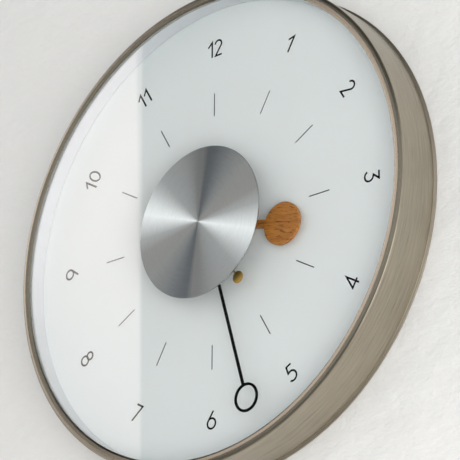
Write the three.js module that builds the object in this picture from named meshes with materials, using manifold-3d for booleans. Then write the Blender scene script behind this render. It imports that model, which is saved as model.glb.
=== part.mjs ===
// Round metal wall clock with a quartz movement, three lollipop hands and a brushed disc bonded on its glass.
// All lengths are millimetres. +Z is up, the wall is the plane y = 0 and the dial faces -Y.
// The origin is the point where the axis of the hands meets the wall.
import * as THREE from "three";
import { mergeVertices } from "three/addons/utils/BufferGeometryUtils.js";
import Module from "manifold-3d";

const wasm = await Module();
wasm.setup();

// ------------------------------------------------ driving dimensions

const GAP = 0.3; // left between pieces that touch
const PLAY = 0.25; // radial play of everything that turns
const BIG_RING_SIDES = 60;
const SMALL_ROUND_SIDES = 16;

const CASE = {
  radius: 173.4, // outside of the drum
  wall: 1.2,
  beadHeight: 1.6, // of the rolled rear edge, outside the drum
  beadWidth: 3,
  beadRound: 0.8,
  lipWidth: 7.1, // front lip, measured inwards from the outside of the drum
  lipThickness: 1.5,
  lipRound: 2.4, // rounded corner between the drum and the lip
};
const LENS = { thickness: 2 };
const GASKET = { thickness: 0.6, width: 3 };
const REHAUT = { wall: 4.3, step: 0.5 }; // step: how far the rehaut sits outside the lip's inner edge
const DIAL = { thickness: 0.8, handRoom: 12.7 }; // handRoom: dial face to the back of the lens
const SUPPORT = { wall: 3 };
const BACK = { thickness: 1.6, wallClearance: 0.1, windowMargin: 2, screwCount: 4, screwInset: 7 };
const BRACKET = { width: 14, thickness: 1.2, depth: 9, inset: 1 }; // inset: from the support ring
const SCREW = { shankRadius: 1.5, headRadius: 2.8, headHeight: 1.1, holeRadius: 1.9 };
const HANGER = {
  width: 46,
  height: 34,
  thickness: 1.2,
  inset: 48, // keyhole's entry below the drum's inside wall
  entryRadius: 5,
  slotRadius: 2.3,
  slotLength: 11,
  windowMargin: 6,
  screwSpacing: 34,
};
const BUMPER = { radius: 8, wallClearance: 0.2, inset: 30, spread: 55 };
const DISC = { radius: 54.3, thickness: 0.9, padRadius: 30, padThickness: 0.5 };

const BUSH = { radius: 4, nutWidth: 11, nutHeight: 2, tip: 0.6 };
const WASHER = { rubberRadius: 12, rubberThickness: 0.5, brassRadius: 8, brassThickness: 0.5 };

// Hands. Heights are from the dial's face to the back of the hand, angles are clockwise from 12.
const HOUR_HAND = {
  height: 4, thickness: 3, angle: 103.65, discRadius: 15, pastDisc: 14, stemWidth: 5.5, hubRadius: 8,
};
const MINUTE_HAND = {
  height: 8.6, thickness: 1, angle: 163.8, ringRadius: 9.9, ringWidth: 1.8, rodWidth: 2.1,
  numeralInset: 29.5, hubRadius: 5, tail: 26,
};
const SECOND_HAND = {
  height: 11, thickness: 0.5, angle: 145.5, discRadius: 4.3, pastDisc: 3, stemWidth: 1,
  hubRadius: 2.6, tail: 18,
};
const COLLET = { flange: 0.8, wall: 1.2, rise: 0.3, clearance: 0.15 };

// Arbors, from the inside out.
const SECOND_ARBOR_RADIUS = 0.5;
const MINUTE_TUBE = { bore: SECOND_ARBOR_RADIUS + PLAY, radius: 1.5 };
const HOUR_TUBE = { bore: MINUTE_TUBE.radius + PLAY, radius: 2.6 };
const BUSH_BORE = HOUR_TUBE.radius + PLAY;

// Movement. Its plan is drawn as seen from the front: x to the right, z up, arbor of the hands at 0, 0.
const MOVEMENT = {
  width: 56, top: 27.5, bottom: -28.5, depth: 15, wallClearance: 1.6,
  frontWall: 1.4, sideWall: 1.2, backWall: 1.2, frontShellDepth: 9.9,
};
const CELL = { radius: 7.1, length: 49.4, nubRadius: 2.7, nubLength: 1.1, sideRoom: 0.5 };
const CONTACT = { thickness: 0.4, width: 9, height: 8 };
const PLATE = { thickness: 0.8, left: -22, right: 23, bottom: -8.5, top: 15.7 };
const POSTS = [[-20, -6], [-20, 13], [21, 13.2], [21, -7]];
const POST = { radius: 1.5, pinRadius: 0.7 };
const PIVOT_RADIUS = 0.4;
const SOCKET_DEPTH = 0.8;
const HUB_RADIUS = 0.5;

// Gear pairs that mesh share a module; distance between centres = module * (teeth + teeth) / 2.
const TEETH = {
  secondPinion: 8, third: 60, thirdPinion: 8, centre: 64,
  cannon: 12, reverse: 36, reversePinion: 10, hour: 40, knob: 12,
  secondWheel: 48, intermediatePinion: 8, intermediate: 40, rotorPinion: 8,
};
const SECOND_TO_THIRD_MODULE = 0.33;
const MOTION_MODULE = 0.375; // cannon, reverse wheel and setting knob
const SECOND_WHEEL_MODULE = 0.32;
const ROTOR_MODULE = 0.3;
const THIRD_DIRECTION = 150; // degrees anticlockwise from 3 o'clock, in the plan
const REVERSE_DIRECTION = 345;
const INTERMEDIATE_DIRECTION = 70;
const ROTOR_DIRECTION = 20; // from the intermediate wheel
const KNOB_DIRECTION = 15; // from the reverse wheel

// Layers of the train, as depths behind the inside of the movement's front wall.
const LAYER = {
  hour: [0.4, 1.3],
  reversePinion: [0.4, 2.2],
  cannon: [1.7, 3.0],
  reverse: [1.9, 2.7],
  knob: [1.7, 2.9],
  centre: [3.4, 4.2],
  thirdPinion: [3.0, 4.9],
  third: [4.7, 5.5],
  secondPinion: [4.5, 5.9],
  plate: 6.0,
  secondWheel: [7.2, 8.0],
  intermediatePinion: [7.1, 8.5],
  intermediate: [8.3, 9.0],
  rotorPinion: [8.1, 9.2],
  magnet: [9.6, 11.2],
  stator: [10.0, 10.8],
  board: [10.6, 11.4],
};

const KNOB = { headRadius: 5.5, headHeight: 3, cupWall: 1.2, proud: 1.2 };
const ROTOR = { magnetRadius: 3, statorGap: 0.4 };
const STATOR = { left: -16, right: 18.5, armWidth: 3, barBottom: 8.2, barTop: 13.6, eyeRadius: 5, top: 23.3 };
const CORE = { thickness: 1.2, width: 3 };
const COIL = { flange: 1, wall: 0.6, height: 7, reach: 3.1 }; // reach: flange in front of the core's middle
const BOARD = { left: -25, right: -11.5, bottom: -9, top: 6.5 };
const CRYSTAL = { radius: 1.2, length: 6, x: -18, z: 2.5 };

// ------------------------------------------------ stack along the axis, front (-) to wall (0)

const movementBack = -MOVEMENT.wallClearance;
const movementFront = movementBack - MOVEMENT.depth;
const rubberBack = movementFront - GAP;
const rubberFront = rubberBack - WASHER.rubberThickness;
const dialBack = rubberFront - GAP;
const dialFace = dialBack - DIAL.thickness;
const lensBack = dialFace - DIAL.handRoom;
const lensFace = lensBack - LENS.thickness;
const lipBack = lensFace - GAP;
const lipFace = lipBack - CASE.lipThickness;
const gasketFront = lensBack + GAP;
const gasketBack = gasketFront + GASKET.thickness;
const rehautFront = gasketBack + GAP;
const rehautBack = dialFace - GAP;
const supportFront = dialBack + GAP;
const backRecess = HANGER.thickness + SCREW.headHeight + 2 * GAP + BACK.wallClearance;
const backPlateRear = -backRecess;
const backPlateFront = backPlateRear - BACK.thickness;
const supportBack = backPlateFront - GAP;

const drumInside = CASE.radius - CASE.wall;
const seatRadius = drumInside - GAP;
const sightRadius = CASE.radius - CASE.lipWidth;
const rehautInside = sightRadius + REHAUT.step;
const numeralRadius = sightRadius - MINUTE_HAND.numeralInset;

// ------------------------------------------------ helpers

const degrees = THREE.MathUtils.degToRad;

const clock = new THREE.Group();

// Adds a named piece to the clock.
function addPiece(name, geometry, material) {
  const mesh = new THREE.Mesh(geometry, material);
  mesh.name = name;
  clock.add(mesh);
}

function material(color, roughness, metalness) {
  return new THREE.MeshStandardMaterial({ color, roughness, metalness });
}

// Turns a closed outline of [radius, y] points round the axis of the hands.
// The outline may be given either way round: its signed area decides the order that faces out.
function turned(outline, sides = SMALL_ROUND_SIDES) {
  let area = 0;
  outline.forEach(([r, y], i) => {
    const [nextR, nextY] = outline[(i + 1) % outline.length];
    area += r * nextY - nextR * y;
  });
  const points = outline.map(([r, y]) => new THREE.Vector2(r, y));
  if (area < 0) points.reverse();
  points.push(points[0].clone());
  return new THREE.LatheGeometry(points, sides);
}

// A ring or, with an inside radius of 0, a solid disc between two y values.
function ring(inside, outside, front, back, sides) {
  if (inside > 0) return turned([[inside, front], [outside, front], [outside, back], [inside, back]], sides);
  const points = [[0, front], [outside, front], [outside, back], [0, back]];
  return new THREE.LatheGeometry(points.map(([r, y]) => new THREE.Vector2(r, y)), sides ?? SMALL_ROUND_SIDES);
}

// Extrudes a shape drawn in the plan (x, z as seen from the front) between two y values.
function plate(shape, front, back, curveSegments = 10) {
  const depth = back - front;
  const geometry = new THREE.ExtrudeGeometry(shape, { depth, bevelEnabled: false, curveSegments });
  return geometry.rotateX(Math.PI / 2).translate(0, back, 0);
}

// A round outline as a many-sided polygon of its own, whatever the holes in it are divided into.
function discShape(radius, sides) {
  const corners = Array.from({ length: sides }, (_, i) => {
    const angle = (2 * Math.PI * i) / sides;
    return new THREE.Vector2(radius * Math.cos(angle), radius * Math.sin(angle));
  });
  return new THREE.Shape(corners);
}

function circleHole(x, z, radius) {
  return new THREE.Path().absarc(x, z, radius, 0, Math.PI * 2, true);
}

function rectangle(left, right, bottom, top) {
  const shape = new THREE.Shape();
  shape.moveTo(left, bottom);
  shape.lineTo(right, bottom);
  shape.lineTo(right, top);
  shape.lineTo(left, top);
  shape.closePath();
  return shape;
}

function box(left, right, bottom, top, front, back) {
  return new THREE.BoxGeometry(right - left, back - front, top - bottom).translate(
    (left + right) / 2,
    (front + back) / 2,
    (bottom + top) / 2,
  );
}

// A disc or ring standing at x, z of the plan.
function post(x, z, radius, front, back, sides) {
  return ring(0, radius, front, back, sides).translate(x, 0, z);
}

// A closed geometry as a solid for joining and cutting.
function solid(geometry) {
  const bare = geometry.index ? geometry.toNonIndexed() : geometry.clone();
  bare.deleteAttribute("normal");
  bare.deleteAttribute("uv");
  const merged = mergeVertices(bare, 1e-4);
  return new wasm.Manifold(
    new wasm.Mesh({
      numProp: 3,
      vertProperties: merged.attributes.position.array,
      triVerts: new Uint32Array(merged.index.array),
    }),
  );
}

// The solid made of the joined geometries less the cut ones, back as a geometry.
function carved(joined, cut = []) {
  let body = solid(joined[0]);
  for (const geometry of joined.slice(1)) body = body.add(solid(geometry));
  for (const geometry of cut) body = body.subtract(solid(geometry));
  const mesh = body.getMesh();
  const geometry = new THREE.BufferGeometry();
  const positions = new Float32Array((mesh.vertProperties.length / mesh.numProp) * 3);
  for (let i = 0; i < positions.length / 3; i += 1)
    for (let k = 0; k < 3; k += 1) positions[3 * i + k] = mesh.vertProperties[i * mesh.numProp + k];
  geometry.setAttribute("position", new THREE.BufferAttribute(positions, 3));
  geometry.setIndex(new THREE.BufferAttribute(new Uint32Array(mesh.triVerts), 1));
  geometry.computeVertexNormals();
  return geometry;
}

// ------------------------------------------------ gears

const ADDENDUM = 0.8; // tooth height over the pitch circle, in modules
const DEDENDUM = 1.3;
const TIP_SHARE = 0.16; // tooth width at its tip, as a share of the pitch
const ROOT_SHARE = 0.46;

const pitchRadius = (teeth, module) => (teeth * module) / 2;
const spacing = (a, b, module) => ((a + b) * module) / 2;
const place = (direction, distance, [x, z] = [0, 0]) => [
  x + distance * Math.cos(degrees(direction)),
  z + distance * Math.sin(degrees(direction)),
];

// Outline of a gear round 0, 0. phase: direction of the middle of its first tooth, in radians.
function gearShape(teeth, module, phase) {
  const tip = pitchRadius(teeth, module) + ADDENDUM * module;
  const root = pitchRadius(teeth, module) - DEDENDUM * module;
  const pitch = (2 * Math.PI) / teeth;
  const shape = new THREE.Shape();
  for (let i = 0; i < teeth; i += 1) {
    const middle = phase + i * pitch;
    const corners = [
      [root, -ROOT_SHARE / 2],
      [tip, -TIP_SHARE / 2],
      [tip, TIP_SHARE / 2],
      [root, ROOT_SHARE / 2],
    ];
    corners.forEach(([radius, share], k) => {
      const angle = middle + share * pitch;
      const move = i + k === 0 ? "moveTo" : "lineTo";
      shape[move](radius * Math.cos(angle), radius * Math.sin(angle));
    });
  }
  shape.closePath();
  return shape;
}

// Phase that puts a gap of the second gear over a tooth of the first, along the line between their centres.
function meshedPhase(phase, teeth, otherTeeth, direction) {
  const line = degrees(direction);
  return line + Math.PI - ((phase - line) * teeth + Math.PI) / otherTeeth;
}

const trainFront = movementFront + MOVEMENT.frontWall;
const layer = ([front, back]) => [trainFront + front, trainFront + back];

function gear(teeth, module, phase, depths) {
  return plate(gearShape(teeth, module, phase), ...layer(depths));
}

// ------------------------------------------------ materials

const steel = material("#8f8876", 0.35, 1);
const discSteel = material("#b9bab7", 0.25, 1);
const glass = new THREE.MeshStandardMaterial({
  color: "#eef3f2", roughness: 0.05, metalness: 0, transparent: true, opacity: 0.3,
});
const whitePaint = material("#e6e8e6", 0.5, 0);
const dialPaint = material("#d9dfdd", 0.6, 0);
const blackPlastic = material("#1c1c1d", 0.55, 0);
const greyPlastic = material("#5b5d60", 0.6, 0);
const whitePlastic = material("#dcdcd6", 0.5, 0);
const blackPaint = material("#111111", 0.6, 0.2);
const wood = material("#b4703a", 0.5, 0);
const brass = material("#c9a35a", 0.3, 1);
const gold = material("#c99b45", 0.3, 1);
const zinc = material("#a8abad", 0.35, 1);
const rubber = material("#202020", 0.9, 0);
const copper = material("#a8562c", 0.35, 0.9);
const magnetFerrite = material("#3a3a3d", 0.5, 0.3);
const boardLacquer = material("#8c6a34", 0.5, 0);
const cellJacket = material("#2f3b46", 0.35, 0.3);

// ------------------------------------------------ case

function addCase() {
  const { radius, beadWidth, beadRound, lipRound } = CASE;
  const beadRadius = radius + CASE.beadHeight;
  const corner = [22.5, 45, 67.5].map((angle) => [
    radius - lipRound + lipRound * Math.cos(degrees(angle)),
    lipFace + lipRound - lipRound * Math.sin(degrees(angle)),
  ]);
  const drum = [
    [drumInside, 0],
    [beadRadius - beadRound, 0],
    [beadRadius, -beadRound],
    [beadRadius, -beadWidth + beadRound],
    [beadRadius - beadRound, -beadWidth],
    [radius, -beadWidth - beadRound / 2],
    [radius, lipFace + lipRound],
    ...corner,
    [radius - lipRound, lipFace],
    [sightRadius + CASE.lipThickness / 3, lipFace],
    [sightRadius, lipFace + CASE.lipThickness / 3],
    [sightRadius, lipBack],
    [drumInside, lipBack],
  ];
  addPiece("case_drum", turned(drum, BIG_RING_SIDES), steel);
  addPiece("lens", ring(0, seatRadius, lensFace, lensBack, BIG_RING_SIDES), glass);
  addPiece(
    "lens_gasket",
    ring(seatRadius - GASKET.width, seatRadius, gasketFront, gasketBack, BIG_RING_SIDES),
    whitePlastic,
  );
  addPiece(
    "rehaut_ring",
    ring(rehautInside, rehautInside + REHAUT.wall, rehautFront, rehautBack, BIG_RING_SIDES),
    whitePaint,
  );
  addPiece("dial_plate", ring(BUSH.radius + PLAY, seatRadius, dialFace, dialBack, BIG_RING_SIDES), dialPaint);
  addPiece(
    "support_ring",
    ring(seatRadius - SUPPORT.wall, seatRadius, supportFront, supportBack, BIG_RING_SIDES),
    blackPlastic,
  );
}

// The brushed disc stands on the outer face of the lens, level with the lip.
function addDisc() {
  const padFront = lensFace - GAP - DISC.padThickness;
  addPiece("disc_pad", ring(0, DISC.padRadius, padFront, lensFace - GAP, 32), whitePlastic);
  const discBack = padFront - GAP;
  addPiece("centre_disc", ring(0, DISC.radius, discBack - DISC.thickness, discBack, 48), discSteel);
}

// ------------------------------------------------ back plate, brackets and what hangs the clock

const bracketRadius = seatRadius - SUPPORT.wall - GAP;
const screwCircle = seatRadius - SUPPORT.wall - BACK.screwInset;
const screwAngles = Array.from({ length: BACK.screwCount }, (_, i) => 45 + (i * 360) / BACK.screwCount);
const keyholeTop = drumInside - HANGER.inset + HANGER.slotLength;
const keyholeEntry = drumInside - HANGER.inset;
const hangerBottom = (keyholeTop + keyholeEntry) / 2 - HANGER.height / 2;
const bumperCircle = drumInside - BUMPER.inset;

// Slot for a screw head that lets the neck slide up into a narrower part.
function keyhole(entryRadius, slotRadius) {
  const lean = Math.asin(slotRadius / entryRadius);
  const path = new THREE.Path();
  path.absarc(0, keyholeEntry, entryRadius, Math.PI / 2 + lean, Math.PI / 2 - lean + Math.PI * 2, false);
  path.lineTo(slotRadius, keyholeTop);
  path.absarc(0, keyholeTop, slotRadius, 0, Math.PI, false);
  path.closePath();
  return path;
}

function hangerScrewAt(side) {
  return [(side * HANGER.screwSpacing) / 2, hangerBottom + HANGER.height / 2];
}

function addBack() {
  const disc = discShape(seatRadius, BIG_RING_SIDES);
  const margin = BACK.windowMargin;
  const half = MOVEMENT.width / 2 + margin;
  disc.holes.push(rectangle(-half, half, MOVEMENT.bottom - margin, MOVEMENT.top + margin));
  for (const angle of screwAngles) {
    disc.holes.push(circleHole(...place(angle, screwCircle), SCREW.holeRadius));
  }
  for (const side of [-1, 1]) disc.holes.push(circleHole(...hangerScrewAt(side), SCREW.holeRadius));
  const { windowMargin, entryRadius, slotRadius } = HANGER;
  const windowHalf = entryRadius + windowMargin / 2;
  disc.holes.push(
    rectangle(-windowHalf, windowHalf, keyholeEntry - windowHalf, keyholeTop + slotRadius + windowMargin / 2),
  );
  addPiece("back_plate", plate(disc, backPlateFront, backPlateRear, 5), blackPlastic);

  const hangerFront = backPlateRear + GAP;
  const hanger = rectangle(-HANGER.width / 2, HANGER.width / 2, hangerBottom, hangerBottom + HANGER.height);
  hanger.holes.push(keyhole(HANGER.entryRadius, HANGER.slotRadius));
  for (const side of [-1, 1]) hanger.holes.push(circleHole(...hangerScrewAt(side), SCREW.holeRadius));
  addPiece("hanger_plate", plate(hanger, hangerFront, hangerFront + HANGER.thickness, 6), zinc);

  for (const side of [-1, 1]) {
    const [x, z] = place(-90 + (side * BUMPER.spread) / 2, bumperCircle);
    const bumper = post(x, z, BUMPER.radius, backPlateRear + GAP, -BUMPER.wallClearance);
    addPiece(side < 0 ? "wall_bumper_left" : "wall_bumper_right", bumper, rubber);
  }
}

// A pan-head screw whose head rests on a face at y = seat and whose shank points to the front.
function screw(x, z, seat, shankLength) {
  const { headRadius, headHeight, shankRadius } = SCREW;
  const outline = [
    [0, seat - shankLength],
    [shankRadius, seat - shankLength],
    [shankRadius, seat],
    [headRadius, seat],
    [headRadius * 0.9, seat + headHeight * 0.7],
    [headRadius * 0.6, seat + headHeight],
    [0, seat + headHeight],
  ];
  const points = outline.map(([r, y]) => new THREE.Vector2(r, y));
  return new THREE.LatheGeometry(points, 10).translate(x, 0, z);
}

// Each bracket is an angle of sheet metal: one leg behind the back plate's rim, one along the support ring.
function addBracketsAndScrews() {
  const legFront = backPlateFront - GAP - BRACKET.thickness;
  screwAngles.forEach((angle, i) => {
    const outer = bracketRadius - BRACKET.inset;
    const inner = screwCircle - BRACKET.width / 2;
    const flat = rectangle(inner, outer, -BRACKET.width / 2, BRACKET.width / 2);
    flat.holes.push(circleHole(screwCircle, 0, SCREW.holeRadius));
    const leg = plate(flat, legFront, legFront + BRACKET.thickness, 8);
    const wall = box(
      outer - BRACKET.thickness,
      outer,
      -BRACKET.width / 2,
      BRACKET.width / 2,
      legFront - BRACKET.depth,
      legFront + BRACKET.thickness / 2,
    );
    const bracket = carved([leg, wall]).rotateY(-degrees(angle));
    addPiece(`case_bracket_${i + 1}`, bracket, zinc);
    const [x, z] = place(angle, screwCircle);
    addPiece(`back_screw_${i + 1}`, screw(x, z, backPlateRear + GAP, BACK.thickness + 4), zinc);
  });
  const hangerRear = backPlateRear + GAP + HANGER.thickness;
  [-1, 1].forEach((side, i) => {
    const [x, z] = hangerScrewAt(side);
    const short = HANGER.thickness + BACK.thickness + 3;
    addPiece(`hanger_screw_${i + 1}`, screw(x, z, hangerRear + GAP, short), zinc);
  });
}

// ------------------------------------------------ hands

const nutFront = dialFace - GAP - WASHER.brassThickness - GAP - BUSH.nutHeight;
const bushTip = nutFront - BUSH.tip;
const hourHandBack = dialFace - HOUR_HAND.height;
const hourHandFront = hourHandBack - HOUR_HAND.thickness;
const minuteHandBack = dialFace - MINUTE_HAND.height;
const minuteHandFront = minuteHandBack - MINUTE_HAND.thickness;
const secondHandBack = dialFace - SECOND_HAND.height;
const secondHandFront = secondHandBack - SECOND_HAND.thickness;
const colletHole = (tube) => tube.radius + COLLET.wall + 2 * COLLET.clearance;

// A bush pressed into a hand: its sleeve fills the hand's hole, its flange lies on the hand's front.
function collet(tube, handFront, handBack) {
  const bore = tube.radius + COLLET.clearance;
  const sleeve = bore + COLLET.wall;
  const face = handFront - GAP / 3;
  return turned([
    [bore, handBack],
    [sleeve, handBack],
    [sleeve, face],
    [sleeve + COLLET.flange, face],
    [sleeve + COLLET.flange, face - COLLET.rise],
    [bore, face - COLLET.rise],
  ], 14);
}

const sweep = (shape, x, z, radius, from, to) =>
  shape.absarc(x, z, radius, degrees(from), degrees(to), false);
const leanOf = (halfWidth, radius) => (Math.asin(halfWidth / radius) * 180) / Math.PI;

// Each hand is drawn pointing to 12 and then turned clockwise by its angle.
function turnHand(geometry, angle) {
  return geometry.rotateY(degrees(angle));
}

function addHourHand() {
  const { hubRadius, stemWidth, discRadius, thickness } = HOUR_HAND;
  const reach = DISC.radius + HOUR_HAND.pastDisc;
  const hubLean = leanOf(stemWidth / 2, hubRadius);
  const discLean = leanOf(stemWidth / 2, discRadius);
  const outline = new THREE.Shape();
  sweep(outline, 0, 0, hubRadius, 90 + hubLean, 450 - hubLean);
  sweep(outline, 0, reach, discRadius, -90 + discLean, 270 - discLean);
  outline.closePath();
  outline.holes.push(circleHole(0, 0, colletHole(HOUR_TUBE)));
  const hand = plate(outline, hourHandBack - thickness, hourHandBack, 10);
  addPiece("hour_hand", turnHand(hand, HOUR_HAND.angle), wood);
  addPiece("hour_collet", collet(HOUR_TUBE, hourHandFront, hourHandBack), brass);
}

function addMinuteHand() {
  const { hubRadius, rodWidth, ringRadius, ringWidth, thickness, tail } = MINUTE_HAND;
  const hubLean = leanOf(rodWidth / 2, hubRadius);
  const ringLean = leanOf(rodWidth / 2, ringRadius);
  const outline = new THREE.Shape();
  sweep(outline, 0, 0, hubRadius, 90 + hubLean, 270 - hubLean);
  outline.lineTo(-rodWidth / 2, -tail);
  outline.lineTo(rodWidth / 2, -tail);
  sweep(outline, 0, 0, hubRadius, -90 + hubLean, 90 - hubLean);
  sweep(outline, 0, numeralRadius, ringRadius, -90 + ringLean, 270 - ringLean);
  outline.closePath();
  outline.holes.push(circleHole(0, 0, colletHole(MINUTE_TUBE)));
  outline.holes.push(circleHole(0, numeralRadius, ringRadius - ringWidth));
  const hand = plate(outline, minuteHandBack - thickness, minuteHandBack, 9);
  addPiece("minute_hand", turnHand(hand, MINUTE_HAND.angle), blackPaint);
  addPiece("minute_collet", collet(MINUTE_TUBE, minuteHandFront, minuteHandBack), brass);
}

function addSecondHand() {
  const { hubRadius, stemWidth, discRadius, thickness, tail } = SECOND_HAND;
  const reach = DISC.radius + SECOND_HAND.pastDisc;
  const hubLean = leanOf(stemWidth / 2, hubRadius);
  const discLean = leanOf(stemWidth / 2, discRadius);
  const arbor = { radius: SECOND_ARBOR_RADIUS };
  const outline = new THREE.Shape();
  sweep(outline, 0, 0, hubRadius, 90 + hubLean, 270 - hubLean);
  outline.lineTo(-stemWidth / 2, -tail);
  outline.lineTo(stemWidth / 2, -tail);
  sweep(outline, 0, 0, hubRadius, -90 + hubLean, 90 - hubLean);
  sweep(outline, 0, reach, discRadius, -90 + discLean, 270 - discLean);
  outline.closePath();
  outline.holes.push(circleHole(0, 0, colletHole(arbor)));
  const hand = plate(outline, secondHandBack - thickness, secondHandBack, 6);
  addPiece("second_hand", turnHand(hand, SECOND_HAND.angle), gold);
  addPiece("second_collet", collet(arbor, secondHandFront, secondHandBack), brass);
}

// ------------------------------------------------ movement case

const movementLeft = -MOVEMENT.width / 2;
const movementRight = MOVEMENT.width / 2;
const insideLeft = movementLeft + MOVEMENT.sideWall;
const insideRight = movementRight - MOVEMENT.sideWall;
const trainBack = movementBack - MOVEMENT.backWall;
const shellSplit = trainFront + MOVEMENT.frontShellDepth; // where the two shells of the movement meet
const cellCentreZ = MOVEMENT.bottom + MOVEMENT.sideWall + CELL.sideRoom + CELL.radius;
const bayTop = cellCentreZ + CELL.radius + CELL.sideRoom;
const trainBottom = bayTop + MOVEMENT.sideWall;
const plateFront = trainFront + LAYER.plate;
const plateBack = plateFront + PLATE.thickness;

const thirdAt = place(THIRD_DIRECTION, spacing(TEETH.secondPinion, TEETH.third, SECOND_TO_THIRD_MODULE));
const centreModule = (2 * Math.hypot(...thirdAt)) / (TEETH.thirdPinion + TEETH.centre);
const reverseAt = place(REVERSE_DIRECTION, spacing(TEETH.cannon, TEETH.reverse, MOTION_MODULE));
const hourModule = (2 * Math.hypot(...reverseAt)) / (TEETH.reversePinion + TEETH.hour);
const knobAt = place(KNOB_DIRECTION, spacing(TEETH.knob, TEETH.reverse, MOTION_MODULE), reverseAt);
const intermediateAt = place(
  INTERMEDIATE_DIRECTION,
  spacing(TEETH.intermediatePinion, TEETH.secondWheel, SECOND_WHEEL_MODULE),
);
const rotorAt = place(
  ROTOR_DIRECTION,
  spacing(TEETH.rotorPinion, TEETH.intermediate, ROTOR_MODULE),
  intermediateAt,
);

const socketRadius = PIVOT_RADIUS + PLAY / 2;
const frontSocket = ([x, z]) => post(x, z, socketRadius, trainFront - SOCKET_DEPTH, trainFront + 0.1, 10);
const backSocket = ([x, z]) => post(x, z, socketRadius, trainBack - 0.1, trainBack + SOCKET_DEPTH, 10);
const reversePost = { radius: 0.8, back: trainFront + LAYER.reverse[1] + GAP };

function addFrontShell() {
  const lowWalls = box(movementLeft, movementRight, MOVEMENT.bottom, trainBottom, movementFront, trainBack);
  const body = box(movementLeft, movementRight, MOVEMENT.bottom, MOVEMENT.top, movementFront, shellSplit);
  const bush = ring(0, BUSH.radius, bushTip, movementFront + 0.1, 24);
  const trainRoom = box(
    insideLeft, insideRight, trainBottom, MOVEMENT.top - MOVEMENT.sideWall, trainFront, movementBack + 1,
  );
  const bayBottom = MOVEMENT.bottom + MOVEMENT.sideWall;
  const bay = box(insideLeft, insideRight, bayBottom, bayTop, trainFront, movementBack + 1);
  const bore = ring(0, BUSH_BORE, bushTip - 1, trainFront + 0.1, 24);
  const tray = carved([lowWalls, body, bush], [trainRoom, bay, bore]);
  const posts = POSTS.flatMap(([x, z]) => [
    post(x, z, POST.radius, trainFront - 0.1, plateFront - GAP, 12),
    post(x, z, POST.pinRadius, trainFront - 0.1, plateBack, 10),
  ]);
  const stub = post(...reverseAt, reversePost.radius, trainFront - 0.1, reversePost.back, 12);
  const sockets = [thirdAt, knobAt].map(frontSocket);
  addPiece("movement_front_shell", carved([tray, ...posts, stub], sockets), greyPlastic);
}

function addBackShell() {
  const cupRadius = KNOB.headRadius + PLAY * 3 + KNOB.cupWall;
  const cupFloor = trainBack - KNOB.headHeight + KNOB.proud;
  const body = box(movementLeft, movementRight, bayTop, MOVEMENT.top, shellSplit + GAP, movementBack);
  const room = box(
    insideLeft, insideRight, trainBottom, MOVEMENT.top - MOVEMENT.sideWall, shellSplit - 1, trainBack,
  );
  // The lower wall of this shell stands behind the wall of the cell's bay.
  const step = box(
    movementLeft - 1, movementRight + 1, MOVEMENT.bottom, trainBottom + GAP, shellSplit - 1, trainBack + GAP,
  );
  const shell = carved([body], [room, step]);
  const cup = post(...knobAt, cupRadius, cupFloor - KNOB.cupWall, movementBack, 24);
  const posts = POSTS.map(([x, z]) => post(x, z, POST.radius, plateBack + GAP, trainBack + 0.1, 12));
  const well = post(...knobAt, cupRadius - KNOB.cupWall, cupFloor, movementBack + 1, 24);
  const stemHole = post(...knobAt, HUB_RADIUS + PLAY, cupFloor - KNOB.cupWall - 1, cupFloor + 1, 12);
  const sockets = [thirdAt, intermediateAt, rotorAt, [0, 0]].map(backSocket);
  addPiece("movement_back_shell", carved([shell, cup, ...posts], [well, stemHole, ...sockets]), greyPlastic);
}

function addMiddlePlate() {
  const shape = rectangle(PLATE.left, PLATE.right, PLATE.bottom, PLATE.top);
  for (const [x, z] of POSTS) shape.holes.push(circleHole(x, z, POST.pinRadius + PLAY));
  const tip = pitchRadius(TEETH.secondPinion, SECOND_TO_THIRD_MODULE) + SECOND_TO_THIRD_MODULE;
  shape.holes.push(circleHole(0, 0, tip + PLAY));
  shape.holes.push(circleHole(...thirdAt, HUB_RADIUS + PLAY));
  shape.holes.push(circleHole(...intermediateAt, socketRadius));
  shape.holes.push(circleHole(...rotorAt, socketRadius));
  shape.holes.push(circleHole(...knobAt, HUB_RADIUS + PLAY));
  addPiece("middle_plate", plate(shape, plateFront, plateBack, 4), whitePlastic);
}

function addFixings() {
  const nut = new THREE.Shape();
  const cornerRadius = BUSH.nutWidth / 2 / Math.cos(Math.PI / 6);
  for (let i = 0; i < 6; i += 1) {
    const angle = (i * Math.PI) / 3;
    nut[i === 0 ? "moveTo" : "lineTo"](cornerRadius * Math.cos(angle), cornerRadius * Math.sin(angle));
  }
  nut.closePath();
  nut.holes.push(circleHole(0, 0, BUSH.radius + PLAY));
  addPiece("bush_nut", plate(nut, nutFront, nutFront + BUSH.nutHeight, 12), brass);
  const brassBack = dialFace - GAP;
  const bushClear = BUSH.radius + PLAY;
  const brassFront = brassBack - WASHER.brassThickness;
  addPiece("brass_washer", ring(bushClear, WASHER.brassRadius, brassFront, brassBack), brass);
  addPiece("rubber_washer", ring(bushClear, WASHER.rubberRadius, rubberFront, rubberBack, 24), rubber);
}

// ------------------------------------------------ train

// A wheel's staff: a hub with a finer pivot at each end that has one.
function staff([x, z], hubFront, hubBack, frontPivot = 0, backPivot = 0) {
  const outline = [[0, hubFront - frontPivot]];
  if (frontPivot > 0) outline.push([PIVOT_RADIUS, hubFront - frontPivot], [PIVOT_RADIUS, hubFront]);
  outline.push([HUB_RADIUS, hubFront], [HUB_RADIUS, hubBack]);
  if (backPivot > 0) outline.push([PIVOT_RADIUS, hubBack], [PIVOT_RADIUS, hubBack + backPivot]);
  outline.push([0, hubBack + backPivot]);
  const points = outline.map(([r, y]) => new THREE.Vector2(r, y));
  return new THREE.LatheGeometry(points, 12).translate(x, 0, z);
}

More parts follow.
